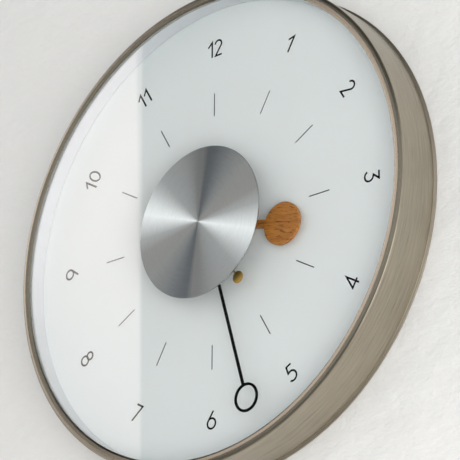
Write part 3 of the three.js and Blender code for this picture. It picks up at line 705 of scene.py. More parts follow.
CASE_METAL = BrushedMetal(
    "case_brushed", srgb(170, 161, 145), 0.3, scratches=4200.0, contrast=0.34, depth=0.00002,
)
LIP_METAL = BrushedMetal("case_lip_polished", srgb(134, 129, 116), 0.26, contrast=0.1, depth=0.000006)
DISC_METAL = BrushedMetal(
    "disc_spun_painted_reflection", srgb(222, 234, 236), 0.33, scratches=3400.0, contrast=0.12, depth=0.000002, anisotropy=1.0,
    # painted reflection: bright wedges to the left and right and dark ones at top and bottom, fixed in the
    # disc's colour
    wedges=(
        (0, 0.42, 0.0), (12, 0.34, 0.04), (35, 0.43, 0.02), (55, 0.43, -0.02), (72, 0.34, -0.08),
        (79, 0.35, -0.08), (85, 0.6, 0.0), (130, 0.5, 0.0), (160, 0.94, 0.0), (180, 0.42, 0.0),
    ),
)
DISC_EDGE = SmoothMetal("disc_edge", srgb(190, 190, 188), 0.25)
LENS_GLASS = Glass("lens_glass")
# the white ring's paint darkened and cooled to blue-grey: painted shade of its inner wall, which faces away
# from the light
REHAUT_SHADED_PAINT = Lacquer("rehaut_paint_painted_shade", srgb(212, 217, 221), 0.5)
DIAL_PAINT = Lacquer("dial_paint", srgb(238, 245, 246), 0.62, peel=0.000001, tint=0.012)
DIAL_INK = Lacquer("dial_ink", srgb(12, 13, 14), 0.6, tint=0.2, gloss=0.1)
BLACK_PLASTIC = Moulded("black_plastic", srgb(44, 44, 46), 0.5)
GREY_PLASTIC = Moulded("grey_plastic", srgb(92, 94, 97), 0.6)
WHITE_PLASTIC = Moulded("white_plastic", srgb(222, 222, 215), 0.45, depth=0.000012)
HAND_BLACK = Lacquer("hand_black", srgb(10, 11, 11), 0.6, tint=0.15, gloss=0.1)
HAND_WOOD = Wood("hand_wood", srgb(192, 128, 54), srgb(146, 88, 32), srgb(72, 40, 16))
HAND_GOLD = SmoothMetal("hand_gold", srgb(205, 168, 92), 0.34)
BRASS = SmoothMetal("brass", srgb(201, 163, 90), 0.28)
ZINC = SmoothMetal("zinc", srgb(176, 180, 184), 0.34)
STAMPED_STEEL = BrushedMetal("stamped_steel", srgb(170, 172, 175), 0.36, lay=Lay.STRAIGHT, scratches=1500.0)
RUBBER = Moulded("rubber", srgb(30, 30, 30), 0.86, texture=900.0)
COPPER = Winding("copper_winding", srgb(186, 104, 58))
FERRITE = SmoothMetal("ferrite", srgb(84, 84, 88), 0.5)
BOARD = Circuit("circuit_lacquer", srgb(58, 96, 58), srgb(150, 130, 70))
CELL_JACKET = Lacquer("cell_jacket", srgb(44, 58, 72), 0.35, tint=0.08)
CELL_BAND = SmoothMetal("cell_band", srgb(196, 150, 92), 0.3)


# ---------------------------------------------------------------- mesh code

FLAT_WEIGHT = 80  # how far the big faces rule the shading, 50 for even
SIDE_SHARE = 0.499  # most of a side that the rounding of one corner may take
LEAST_DEPTH = 1e-4  # thinnest flat part of a sheet's edge, in millimetres
MITRE_LIMIT = 0.3  # keeps the outer corner of a sharp bend in a stroke from running away


def finish_mesh(mesh: bpy.types.Mesh, angle: float = 32.0) -> None:
    """Smooths a mesh's shading except over sharp edges.

    Args:
        mesh: The mesh.
        angle: Degrees of bend from which an edge is sharp.
    """
    for polygon in mesh.polygons:
        polygon.use_smooth = True
    mesh.set_sharp_from_angle(angle=math.radians(angle))


def flatten(obj: bpy.types.Object) -> None:
    """Keeps an object's broad flat faces flat in the shading, with only their edges blending round.

    Args:
        obj: The object.
    """
    normals = obj.modifiers.new("flat_faces", "WEIGHTED_NORMAL")
    normals.mode = "FACE_AREA"
    normals.weight = FLAT_WEIGHT
    normals.keep_sharp = True


def piece_from(name: str, mesh: bpy.types.Mesh, body: str, finishes: Sequence[Finish],
               replaces: Sequence[str] = (), place: Matrix | None = None) -> bpy.types.Object:
    """Puts a finished mesh into the scene as a piece.

    Args:
        name: Name of the piece.
        mesh: Its mesh, in metres.
        body: CAD body it rides on.
        finishes: Its finishes, in the order of the mesh's material numbers.
        replaces: CAD nodes it stands for.
        place: Where the piece stands, or None for the origin.

    Returns:
        The object.
    """
    obj = bpy.data.objects.new(name, mesh)
    bpy.context.scene.collection.objects.link(obj)
    if place is not None:
        obj.matrix_world = place
    for finish in finishes:
        mesh.materials.append(finish.material())
    finish_mesh(mesh)
    flatten(obj)
    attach(obj, body)
    if replaces:
        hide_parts(*replaces)
    log.info("%-22s %6d faces, rides on %s", name, len(mesh.polygons), body)
    return obj


def arc(centre: Point, radius: float, start: float, end: float, steps: int,
        squash: float = 1.0) -> list[Point]:
    """Points on an arc.

    Args:
        centre: Its centre.
        radius: Its radius across.
        start: First angle in degrees, anticlockwise from the right.
        end: Last angle in degrees.
        steps: Number of chords.
        squash: Height divided by width.

    Returns:
        The points, both ends included.
    """
    angles = [math.radians(start + (end - start) * i / steps) for i in range(steps + 1)]
    return [(centre[0] + radius * math.cos(a), centre[1] + radius * squash * math.sin(a)) for a in angles]


def rounded(corners: Sequence[tuple[float, float, float]], steps: int = 6) -> list[Point]:
    """A closed outline with its corners rounded.

    Args:
        corners: Each corner's two coordinates and its rounding radius.
        steps: Chords in each rounding.

    Returns:
        The points of the outline.
    """
    points: list[Point] = []
    count = len(corners)
    for i, (x, y, radius) in enumerate(corners):
        corner = Vector((x, y))
        before = Vector(corners[i - 1][:2]) - corner
        after = Vector(corners[(i + 1) % count][:2]) - corner
        if radius <= 0:
            points.append((x, y))
            continue
        half = before.angle(after) / 2
        cut = min(radius / math.tan(half), before.length * SIDE_SHARE, after.length * SIDE_SHARE)
        true_radius = cut * math.tan(half)
        centre = corner + (before.normalized() + after.normalized()).normalized() * (
            true_radius / math.sin(half))
        start = corner + before.normalized() * cut - centre
        end = corner + after.normalized() * cut - centre
        turn = start.angle_signed(end)
        for k in range(steps + 1):
            arm = start.copy()
            arm.rotate(Matrix.Rotation(-turn * k / steps, 2))
            points.append(tuple(centre + arm))
    return points


def turned_mesh(name: str, outline: Sequence[Point], steps: int = ROUND_STEPS,
                number_of: dict[int, int] | None = None) -> bpy.types.Mesh:
    """Turns a closed outline of radius and y round the axis of the hands.

    Args:
        name: Name of the mesh.
        outline: Closed outline in millimetres; points with radius 0 lie on the axis.
        steps: Sides of the round.
        number_of: Material number of the strip that starts at each outline point.

    Returns:
        The mesh.
    """
    bm = bmesh.new()
    rings: list[list[bmesh.types.BMVert]] = []
    for radius, y in outline:
        if radius < ON_AXIS:
            rings.append([bm.verts.new((0, y * MM, 0))])
            continue
        angles = (2 * math.pi * i / steps for i in range(steps))
        rings.append([bm.verts.new((radius * MM * math.sin(a), y * MM, radius * MM * math.cos(a)))
                      for a in angles])
    for index, ring in enumerate(rings):
        following = rings[(index + 1) % len(rings)]
        if len(ring) == 1 and len(following) == 1:
            continue
        for i in range(steps):
            j = (i + 1) % steps
            if len(ring) == 1:
                corners = [ring[0], following[j], following[i]]
            elif len(following) == 1:
                corners = [ring[i], ring[j], following[0]]
            else:
                corners = [ring[i], ring[j], following[j], following[i]]
            face = bm.faces.new(corners)
            face.material_index = (number_of or {}).get(index, 0)
    return mesh_of(name, bm)


def sheet_mesh(name: str, outer: Sequence[Point], holes: Iterable[Sequence[Point]], front: float,
               back: float, edge: float, edge_steps: int = 2) -> bpy.types.Mesh:
    """A flat plate with holes and rounded edges, standing in the plane of the dial.

    Args:
        name: Name of the mesh.
        outer: Its outline, x and z in millimetres.
        holes: Outlines of its holes.
        front: Lower y in millimetres.
        back: Higher y in millimetres.
        edge: Radius of its edges in millimetres.
        edge_steps: Steps in the rounding of its edges.

    Returns:
        The mesh.
    """
    curve = bpy.data.curves.new(name, "CURVE")
    curve.dimensions = "2D"
    curve.fill_mode = "BOTH"
    curve.extrude = max((back - front) / 2 - edge, LEAST_DEPTH) * MM
    curve.bevel_depth = edge * MM
    curve.bevel_resolution = edge_steps
    curve.offset = -edge * MM
    for outline in (outer, *holes):
        spline = curve.splines.new("POLY")
        spline.points.add(len(outline) - 1)
        for point, (x, z) in zip(spline.points, outline):
            point.co = (x * MM, z * MM, 0.0, 1.0)
        spline.use_cyclic_u = True
    holder = bpy.data.objects.new(name, curve)
    bpy.context.scene.collection.objects.link(holder)
    bpy.context.view_layer.update()
    graph = bpy.context.evaluated_depsgraph_get()
    mesh = bpy.data.meshes.new_from_object(holder.evaluated_get(graph))
    bpy.data.objects.remove(holder)
    bpy.data.curves.remove(curve)
    mesh.name = name
    middle = Matrix.Translation((0, (front + back) / 2 * MM, 0))
    mesh.transform(middle @ Matrix.Rotation(math.pi / 2, 4, "X"))
    bm = bmesh.new()
    bm.from_mesh(mesh)
    bmesh.ops.remove_doubles(bm, verts=bm.verts, dist=MERGE)
    bmesh.ops.recalc_face_normals(bm, faces=bm.faces)
    bm.to_mesh(mesh)
    bm.free()
    return mesh


def ribbon(bm: bmesh.types.BMesh, path: Sequence[Point], width: float, front: float, back: float,
           place: Matrix, closed: bool = False) -> None:
    """Adds a flat raised stroke along a path.

    Args:
        bm: Mesh that takes the stroke.
        path: Points of its centre line, x and z in millimetres.
        width: Its width.
        front: Lower y.
        back: Higher y.
        place: Where the stroke's own plane stands.
        closed: True if the last point joins the first.
    """
    points = [Vector(p) for p in path]
    count = len(points)
    sides: list[tuple[Vector, Vector]] = []
    for i, point in enumerate(points):
        before = points[i - 1] if closed or i else point * 2 - points[1]
        after = points[(i + 1) % count] if closed or i < count - 1 else point * 2 - points[i - 1]
        into, out = (point - before).normalized(), (after - point).normalized()
        along = (into + out).normalized()
        normal = Vector((-along.y, along.x))
        arm = normal * (width / 2 / max(MITRE_LIMIT, normal.dot(Vector((-into.y, into.x)))))
        sides.append((point + arm, point - arm))
    layers = []
    for left, right in sides:
        layers.append([bm.verts.new(place @ Vector((p.x * MM, y * MM, p.y * MM)))
                       for p, y in ((left, front), (right, front), (right, back), (left, back))])
    last = count if closed else count - 1
    for i in range(last):
        a, b = layers[i], layers[(i + 1) % count]
        for k in range(4):
            bm.faces.new((a[k], a[(k + 1) % 4], b[(k + 1) % 4], b[k]))
    if not closed:
        bm.faces.new(layers[0][::-1])
        bm.faces.new(layers[-1])


def mesh_of(name: str, bm: bmesh.types.BMesh) -> bpy.types.Mesh:
    """Turns a bmesh into a mesh with its normals facing out.

    Args:
        name: Name of the mesh.
        bm: The bmesh, which is freed.

    Returns:
        The mesh.
    """
    bmesh.ops.recalc_face_normals(bm, faces=bm.faces)
    mesh = bpy.data.meshes.new(name)
    bm.to_mesh(mesh)
    bm.free()
    return mesh


def joined(name: str, meshes: Sequence[bpy.types.Mesh]) -> bpy.types.Mesh:
    """Makes one mesh of several, each part keeping its own material number.

    Args:
        name: Name of the mesh.
        meshes: The meshes, which are removed.

    Returns:
        The mesh.
    """
    bm = bmesh.new()
    for mesh in meshes:
        bm.from_mesh(mesh)
        bpy.data.meshes.remove(mesh)
    mesh = bpy.data.meshes.new(name)
    bm.to_mesh(mesh)
    bm.free()
    return mesh


def circle(radius: float, steps: int, x: float = 0.0, z: float = 0.0) -> list[Point]:
    """A round outline as a closed list of points."""
    return arc((x, z), radius, 0, 360 * (steps - 1) / steps, steps - 1)


def span(node: str, axis: int) -> tuple[float, float]:
    """Lowest and highest coordinate of a CAD node along one axis, in millimetres."""
    low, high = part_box(node)
    return low[axis] / MM, high[axis] / MM


def reach(node: str) -> float:
    """How far a round CAD node stands out from the axis of the hands, in millimetres."""
    return span(node, 0)[1]


# ---------------------------------------------------------------- case and dial


@dataclass
class Case:
    """The brushed drum, the glass and the white ring behind it.

    Attributes:
        lip_width: Width of the polished front lip.
        lip_polish: How far the polish goes back from the lip's face.
        lip_thickness: Thickness of the lip.
        lip_curve: Corners of the lip from the drum's side to its crown: how far in from the side,
            how far behind the face, and rounding.
        sight_ease: The same for the corner before the lip's bright inner edge, measured from that edge.
        sight_edge: How far the inner edge's corner lies behind the face, and its rounding.
        lip_under: Rounding under the lip's inner edge.
        bead_width: Width of the rolled rear edge.
        bead_round: Rounding of the rear edge.
        bead_height: How far the rear edge stands out from the drum.
        flare: Width of the slope between the rear edge and the drum.
        wall: Thickness of the drum.
        wall_round: Rounding of the drum's inner rear corner.
        gasket_bore: Radius of the gasket's hole.
        rehaut_bore: Radius of the hole in the white ring.
        ring_ease: Most that the rings' edges are rounded.
        lens_edge: Rounding of the ground edge of the glass.
    """

    lip_width: float = 7.1
    lip_polish: float = 0.96
    lip_thickness: float = 1.5
    lip_curve: tuple[tuple[float, float, float], ...] = ((0.0, 1.2, 1.1), (1.9, 0.12, 2.2), (3.5, 0.0, 3.0))
    sight_ease: tuple[float, float, float] = (1.2, 0.3, 1.6)
    sight_edge: Point = (0.9, 0.35)
    lip_under: float = 0.15
    bead_width: float = 1.0
    bead_round: float = 0.45
    bead_height: float = 1.6
    flare: float = 0.7
    wall: float = 1.2
    wall_round: float = 0.3
    gasket_bore: float = 168.9
    rehaut_bore: float = 166.8
    ring_ease: float = 0.25
    lens_edge: float = 0.35

    def build(self) -> None:
        """Makes the drum, the lens, its gasket and the rehaut."""
        self.build_drum()
        self.build_lens()
        self.build_ring("gasket_ring", "lens_gasket", WHITE_PLASTIC, self.gasket_bore)
        # the rehaut's paint carries painted shade
        self.build_ring("rehaut_wall", "rehaut_ring", REHAUT_SHADED_PAINT, self.rehaut_bore)

    def build_drum(self) -> None:
        """Turns the drum: rolled rear bead, brushed side, rounded lip with a bright inner edge."""
        face, wall_face = span("case_drum", 1)
        bead = reach("case_drum")
        outside = bead - self.bead_height
        inside = outside - self.wall
        sight = outside - self.lip_width
        lip_back = face + self.lip_thickness
        ease_in, ease_back, ease = self.sight_ease
        edge_back, edge = self.sight_edge
        outline = rounded([
            (inside, wall_face, self.wall_round),
            (bead, wall_face, self.bead_round),
            (bead, wall_face - self.bead_width, self.bead_round),
            (outside, wall_face - self.bead_width - self.flare, self.bead_round),
            *((outside - inward, face + behind, radius) for inward, behind, radius in self.lip_curve),
            (sight + ease_in, face + ease_back, ease),
            (sight, face + edge_back, edge),
            (sight, lip_back, self.lip_under),
            (inside, lip_back, 0.0),
        ], steps=8)
        numbers = {index: 1 for index, (_, y) in enumerate(outline) if y < face + self.lip_polish}
        mesh = turned_mesh("case_shell", outline, ROUND_STEPS, numbers)
        piece_from("case_shell", mesh, "clock", (CASE_METAL, LIP_METAL), ("case_drum",))

    def build_lens(self) -> None:
        """Turns the glass with a ground edge."""
        front, back = span("lens", 1)
        outside = reach("lens")
        outline = rounded([(0, front, 0), (outside, front, self.lens_edge), (outside, back, self.lens_edge),
                           (0, back, 0)], steps=3)
        mesh = turned_mesh("lens_pane", outline)
        piece_from("lens_pane", mesh, "clock", (LENS_GLASS,), ("lens",))

    def build_ring(self, name: str, node: str, finish: Finish, inside: float) -> None:
        """Turns a plain ring in the place of a CAD ring, with eased edges.

        Args:
            name: Name of the piece.
            node: CAD node it stands for.
            finish: Its finish.
            inside: Radius of its bore.
        """
        front, back = span(node, 1)
        outside = reach(node)
        ease = min(self.ring_ease, (back - front) / 3)
        outline = rounded([(inside, front, ease), (outside, front, ease), (outside, back, ease),
                           (inside, back, ease)], steps=3)
        piece_from(name, turned_mesh(name, outline), "clock", (finish,), (node,))


class Glyph:
    """Strokes of the dial's numerals, drawn upright with their foot on z = 0.

    The numbers in each digit are its own points, in millimetres from its lower left corner.

    Attributes:
        HEIGHT: Height of a digit.
        ROUND: Chords in half a round stroke.
    """

    HEIGHT: ClassVar[float] = 12.5
    ROUND: ClassVar[int] = 20

    @classmethod
    def strokes(cls, digit: str) -> tuple[list[tuple[list[Point], bool]], float]:
        """Strokes of one digit.

        Args:
            digit: One character from 0 to 9.

        Returns:
            Each stroke's points and whether it is closed, and the digit's width.
        """
        high = cls.HEIGHT
        n = cls.ROUND
        if digit == "1":
            return [([(0.2, high - 3.9), (4.0, high - 0.3), (4.0, 0)], False)], 4.0
        if digit == "2":
            bend = arc((3.1, high - 3.2), 3.0, 172, -32, n)
            return [([*bend, (0.5, 0.55), (6.4, 0.55)], False)], 6.4
        if digit == "3":
            top = [(0.7, high - 0.5), (6.2, high - 0.5), (2.6, high - 5.0)]
            return [([*top, *arc((3.0, 3.9), 3.5, 72, -158, n)], False)], 6.6
        if digit == "4":
            return [([(5.7, 0), (5.7, high - 0.9), (0.6, 3.0), (7.9, 3.0)], False)], 7.9
        if digit == "5":
            top = [(6.2, high - 0.5), (1.9, high - 0.5), (1.1, high - 5.4)]
            return [([*top, *arc((3.1, 3.95), 3.6, 118, -142, n)], False)], 6.8
        if digit == "6":
            bowl = circle(3.55, 2 * n, 3.9, 3.95)
            tangent = 152
            start = arc((3.9, 3.95), 3.55, tangent, tangent, 1)[0]
            return [(bowl, True), ([start, (5.6, high)], False)], 7.8
        if digit == "7":
            return [([(0.2, high - 0.5), (6.0, high - 0.5), (1.2, 0)], False)], 6.2
        if digit == "8":
            lower = arc((3.7, 3.75), 3.45, 0, 360 * (2 * n - 1) / (2 * n), 2 * n - 1, 0.98)
            upper = circle(2.75, 2 * n, 3.7, high - 3.15)
            return [(lower, True), (upper, True)], 7.4
        if digit == "9":
            six, width = cls.strokes("6")
            return [([(width - x, high - z) for x, z in points], shut) for points, shut in six], width
        oval = arc((3.6, high / 2), 3.3, 0, 360 * (2 * n - 1) / (2 * n), 2 * n - 1, (high / 2 - 0.4) / 3.3)
        return [(oval, True)], 7.2


@dataclass
class Dial:
    """The painted dial with its printed numerals and strokes.

    Attributes:
        bore: Radius of the hole for the hands.
        numeral_radius: Radius of the middle of the numerals.
        stroke: Width of a numeral's stroke.
        tick_from: Inner end of the hour strokes.
        tick_to: Outer end of the hour strokes.
        tick_width: Width of the hour strokes.
        ink: Height of the print above the paint.
        edge: Rounding of the plate's edges.
        digit_gap: Gap between the two digits of a numeral.
        spans: The same gap where a numeral has its own.
    """

    bore: float = 4.25
    numeral_radius: float = 137.2
    stroke: float = 1.35
    tick_from: float = 84.8
    tick_to: float = 102.1
    tick_width: float = 0.75
    ink: float = 0.05
    edge: float = 0.1
    digit_gap: float = 2.5
    spans: dict[str, float] = field(default_factory=lambda: {"11": 2.2, "10": 3.2, "12": 2.7})

    def build(self) -> None:
        """Makes the plate and its print."""
        face, back = span("dial_plate", 1)
        outside = reach("dial_plate")
        edge = self.edge
        outline = rounded([(self.bore, face, edge), (outside, face, edge), (outside, back, edge),
                           (self.bore, back, edge)], steps=2)
        mesh = turned_mesh("dial_face", outline)
        piece_from("dial_face", mesh, "clock", (DIAL_PAINT,), ("dial_plate",))
        self.build_print(face)

    def build_print(self, face: float) -> None:
        """Prints twelve numerals and twelve strokes.

        Args:
            face: y of the dial's face.
        """
        numerals = bmesh.new()
        ticks = bmesh.new()
        for hour in range(1, 13):
            turn = Matrix.Rotation(math.radians(HOUR_TURN * hour), 4, "Y")
            ribbon(ticks, [(0, self.tick_from), (0, self.tick_to)], self.tick_width, face - self.ink,
                   face, turn)
            self.print_numeral(numerals, hour, face)
        piece_from("dial_numerals", mesh_of("dial_numerals", numerals), "clock", (DIAL_INK,))
        piece_from("dial_strokes", mesh_of("dial_strokes", ticks), "clock", (DIAL_INK,))

    def print_numeral(self, bm: bmesh.types.BMesh, hour: int, face: float) -> None:
        """Prints one numeral, its head out from the axis at the top and its foot out at the bottom.

        Args:
            bm: Mesh that takes the print.
            hour: Hour from 1 to 12.
            face: y of the dial's face.
        """
        text = str(hour)
        shapes = [Glyph.strokes(digit) for digit in text]
        gap = self.spans.get(text, self.digit_gap)
        width = sum(wide for _, wide in shapes) + gap * (len(shapes) - 1)
        upside = 4 <= hour <= 8
        lean = Matrix.Rotation(math.radians(HOUR_TURN * hour), 4, "Y")
        away = Matrix.Translation((0, 0, self.numeral_radius * MM))
        flip = Matrix.Rotation(math.pi if upside else 0.0, 4, "Y")
        place = lean @ away @ flip
        left = -width / 2
        for strokes, digit_width in shapes:
            for points, shut in strokes:
                moved = [(x + left, z - Glyph.HEIGHT / 2) for x, z in points]
                ribbon(bm, moved, self.stroke, face - self.ink, face, place, shut)
            left += digit_width + gap


@dataclass
class CentreDisc:
    """The spun-brushed disc bonded to the outside of the glass.

    Attributes:
        edge: Rounding of the disc's edge.
        edge_steps: Chords in that rounding.
        pad_edge: Rounding of the pad's edge.
    """

    edge: float = 0.3
    edge_steps: int = 4
    pad_edge: float = 0.15

    def build(self) -> None:
        """Makes the disc and the pad that holds it."""
        front, back = span("centre_disc", 1)
        outside = reach("centre_disc")
        outline = rounded([(0, front, 0), (outside, front, self.edge), (outside, back, self.edge / 2),
                           (0, back, 0)], self.edge_steps)
        numbers = {i: 1 for i in range(self.edge_steps + 1, len(outline) - 1)}
        mesh = turned_mesh("spun_disc", outline, ROUND_STEPS, numbers)
        piece_from("spun_disc", mesh, "clock", (DISC_METAL, DISC_EDGE), ("centre_disc",))
        front, back = span("disc_pad", 1)
        pad = reach("disc_pad")
        outline = rounded([(0, front, 0), (pad, front, self.pad_edge), (pad, back, self.pad_edge),
                           (0, back, 0)], steps=3)
        mesh = turned_mesh("bonding_pad", outline, SMALL_STEPS)
        piece_from("bonding_pad", mesh, "clock", (WHITE_PLASTIC,), ("disc_pad",))


# ---------------------------------------------------------------- hands

HUB_STEPS = 48  # chords round a hand's hub
HEAD_STEPS = 96  # chords round a hand's head
BUSH_STEPS = 32  # chords round the hole for a hand's bush


def lollipop(hub: float, stem: float, far: float, head: float, tail: float) -> list[Point]:
    """Outline of a hand that points up: a hub, a stem and a round head.

    Args:
        hub: Radius of the hub.
        stem: Width of the stem.
        far: Distance from the axis to the middle of the head.
        head: Radius of the head.
        tail: Length of the tail behind the axis, or 0.

    Returns:
        The outline's points.
    """
    half = stem / 2
    hub_lean = math.degrees(math.asin(half / hub))
    head_lean = math.degrees(math.asin(half / head))
    if tail > 0:
        points = arc((0, 0), hub, 90 + hub_lean, 270 - hub_lean, HUB_STEPS // 2)
        points += [(-half, -tail), (half, -tail)]
        points += arc((0, 0), hub, -90 + hub_lean, 90 - hub_lean, HUB_STEPS // 2)
    else:
        points = arc((0, 0), hub, 90 + hub_lean, 450 - hub_lean, HUB_STEPS)
    return points + arc((0, far), head, -90 + head_lean, 270 - head_lean, HEAD_STEPS)


@dataclass
class Hand:
    """One lollipop hand.

    Attributes:
        name: Name of the piece.
        node: CAD node it stands for.
        body: CAD body it rides on.
        angle: Degrees clockwise from 12 at rest.
        far: Distance from the axis to the middle of the head.
        head: Radius of the head.
        stem: Width of the stem.
        hub: Radius of the hub.
        bore: Radius of the hole for its bush.
        edge: Rounding of its edges.
        finish: Its finish.
        slot: The record's slot of that finish; not used.
        tail: Length of the tail.
        ring: Width of the head's ring, or 0 for a solid head.
    """

    name: str
    node: str
    body: str
    angle: float
    far: float
    head: float
    stem: float
    hub: float
    bore: float
    edge: float
    finish: Finish
    slot: str
    tail: float = 0.0
    ring: float = 0.0

    def build(self) -> None:
        """Cuts the hand from sheet, pointing up, and turns it to its angle."""
        front, back = span(self.node, 1)
        outline = lollipop(self.hub, self.stem, self.far, self.head, self.tail)
        holes = [circle(self.bore, BUSH_STEPS)]
        if self.ring > 0:
            holes.append(circle(self.head - self.ring, HEAD_STEPS, 0, self.far))
        mesh = sheet_mesh(self.name, outline, holes, front, back, self.edge, edge_steps=3)
        place = Matrix.Rotation(math.radians(self.angle), 4, "Y")
        piece_from(self.name, mesh, self.body, (self.finish,), (self.node,), place)


HANDS = (
    Hand("wooden_hour_hand", "hour_hand", "hour_train", angle=103.65, far=68.3, head=15.0, stem=5.5,
         hub=8.0, bore=4.1, edge=0.5, finish=HAND_WOOD, slot="hand_wood"),
    Hand("black_minute_hand", "minute_hand", "minute_train", angle=163.8, far=136.8, head=9.9, stem=2.1,
         hub=5.0, bore=3.0, edge=0.16, finish=HAND_BLACK, slot="hand_black", tail=26.0, ring=1.8),
    Hand("gold_seconds_hand", "second_hand", "second_train", angle=145.5, far=57.3, head=4.3, stem=1.0,
         hub=2.6, bore=2.0, edge=0.12, finish=HAND_GOLD, slot="hand_gold", tail=18.0),
)


# ---------------------------------------------------------------- back


@dataclass
class Back:
    """Moulded back plate, hanger, rubber bumpers and screws.

    Attributes:
        rib_height: How far the moulded ribs stand up.
        rib_width: Width of a round rib.
        rib_sunk: How deep the ribs' feet reach into the plate.
        rib_round: Rounding of the round ribs' crest.
        rib_rings: Radii of the round ribs.
        rib_count: Number of straight ribs.
        plate_edge: Rounding of the plate's edges.
        window_margin: Gap between the movement and the plate.
        window_round: Rounding of the window's corners.
        screw_hole: Radius of a screw's hole.
        hanger_corner: Rounding of the hanger's corners.
        hanger_edge: Rounding of the hanger's edges.
        keyhole_entry_radius: Radius of the keyhole's round entry.
        keyhole_slot_radius: Half the width of the keyhole's slot.
        keyhole_length: From the middle of the entry to the top of the slot.
        keyhole_window: Gap between the keyhole and the edge of the plate's opening for it.
        keyhole_window_round: Rounding of that opening's corners.
        foot_cup: Depth of the cup in a rubber foot.
        screw_turn: Degrees that the first screw's cross is turned.
        screw_turn_step: Degrees that each following screw's cross is turned further.
    """

    rib_height: float = 0.5
    rib_width: float = 1.6
    rib_sunk: float = 0.3
    rib_round: float = 0.35
    rib_rings: tuple[float, ...] = (52.0, 98.0, 154.0, 168.5)
    rib_count: int = 12
    plate_edge: float = 0.25
    window_margin: float = 2.0
    window_round: float = 2.0
    screw_hole: float = 1.9
    hanger_corner: float = 4.0
    hanger_edge: float = 0.2
    keyhole_entry_radius: float = 5.0
    keyhole_slot_radius: float = 2.3
    keyhole_length: float = 11.0
    keyhole_window: float = 3.0
    keyhole_window_round: float = 1.5
    foot_cup: float = 0.6
    screw_turn: float = 25.0
    screw_turn_step: float = 53.0

    def build(self) -> None:
        """Makes every piece that is seen from behind, but not the movement."""
        self.build_plate()
        self.build_hanger()
        self.build_bumpers()
        self.build_screws()

    def keyhole_centre(self) -> float:
        """z of the keyhole's round entry."""
        low, high = span("hanger_plate", 2)
        return (low + high) / 2 - self.keyhole_length / 2

    def screw_places(self, prefix: str, count: int) -> list[Point]:
        """Middle of each screw with a name that starts alike."""
        return [tuple(sum(span(f"{prefix}_{i + 1}", axis)) / 2 for axis in (0, 2)) for i in range(count)]

    @staticmethod
    def block(left: float, right: float, bottom: float, top: float, corner: float,
              steps: int = 6) -> list[Point]:
        """A rectangle with rounded corners.

        Args:
            left: Lowest x.
            right: Highest x.
            bottom: Lowest z.
            top: Highest z.
            corner: Rounding of its corners.
            steps: Chords in each rounding.

        Returns:
            The points of the outline.
        """
        return rounded([(left, bottom, corner), (right, bottom, corner), (right, top, corner),
                        (left, top, corner)], steps)

    def build_plate(self) -> None:
        """Cuts the plate with its windows and adds moulded ribs to its rear."""
        front, back = span("back_plate", 1)
        left, right = span("movement_front_shell", 0)
        bottom, top = span("movement_front_shell", 2)
        margin = self.window_margin
        window = self.block(left - margin, right + margin, bottom - margin, top + margin, self.window_round)
        entry = self.keyhole_centre()
        half = self.keyhole_entry_radius + self.keyhole_window
        roof = entry + self.keyhole_length + self.keyhole_slot_radius + self.keyhole_window
        key_window = self.block(-half, half, entry - half, roof, self.keyhole_window_round)
        screws = self.screw_places("back_screw", 4) + self.screw_places("hanger_screw", 2)
        holes = [window, key_window, *(circle(self.screw_hole, HOLE_STEPS, x, z) for x, z in screws)]
        plate = sheet_mesh("back_plate_sheet", circle(reach("back_plate"), ROUND_STEPS), holes, front,
                           back, self.plate_edge)
        parts = [plate]
        half_rib = self.rib_width / 2
        foot = back - self.rib_sunk
        crest = back + self.rib_height
        for radius in self.rib_rings:
            inside, outside = radius - half_rib, radius + half_rib
            outline = rounded([(inside, foot, 0), (outside, foot, 0), (outside, crest, self.rib_round),
                               (inside, crest, self.rib_round)], steps=4)
            parts.append(turned_mesh("rib_ring", outline))
        ribs = bmesh.new()
        inner, outer = self.rib_rings[0], self.rib_rings[1]
        for i in range(self.rib_count):
            turn = Matrix.Rotation(math.radians(360 / self.rib_count * (i + 0.5)), 4, "Y")
            ribbon(ribs, [(0, inner), (0, outer)], self.rib_width * 0.8, foot, crest - 0.1, turn)
        parts.append(mesh_of("straight_ribs", ribs))
        mesh = joined("ribbed_back_plate", parts)
        piece_from("ribbed_back_plate", mesh, "clock", (BLACK_PLASTIC,), ("back_plate",))

    def build_hanger(self) -> None:
        """Stamps the hanger with its keyhole."""
        front, back = span("hanger_plate", 1)
        left, right = span("hanger_plate", 0)
        bottom, top = span("hanger_plate", 2)
        entry = self.keyhole_centre()
        lean = math.degrees(math.asin(self.keyhole_slot_radius / self.keyhole_entry_radius))
        slot_top = entry + self.keyhole_length
        keyhole = arc((0, entry), self.keyhole_entry_radius, 90 + lean, 450 - lean, 40)
        keyhole += arc((0, slot_top), self.keyhole_slot_radius, 0, 180, 16)
        screws = [circle(self.screw_hole, HOLE_STEPS, x, z)
                  for x, z in self.screw_places("hanger_screw", 2)]
        outer = self.block(left, right, bottom, top, self.hanger_corner, steps=8)
        mesh = sheet_mesh("stamped_hanger", outer, [keyhole, *screws], front, back, self.hanger_edge)
        piece_from("stamped_hanger", mesh, "clock", (STAMPED_STEEL,), ("hanger_plate",))

    def build_bumpers(self) -> None:
        """Turns two rubber feet with a shallow cup in each."""
        for side in ("left", "right"):
            node = f"wall_bumper_{side}"
            front, back = span(node, 1)
            low, high = span(node, 0)
            radius = (high - low) / 2
            cup = back - self.foot_cup
            outline = rounded([(0, front, 0), (radius, front, 0.2), (radius, back, 0.9),
                               (radius * 0.55, back, 0.5), (radius * 0.35, cup, 0.4), (0, cup, 0)], steps=5)
            mesh = turned_mesh(f"rubber_foot_{side}", outline, SMALL_STEPS)
            place = Matrix.Translation(((low + high) / 2 * MM, 0, sum(span(node, 2)) / 2 * MM))
            piece_from(f"rubber_foot_{side}", mesh, "clock", (RUBBER,), (node,), place)

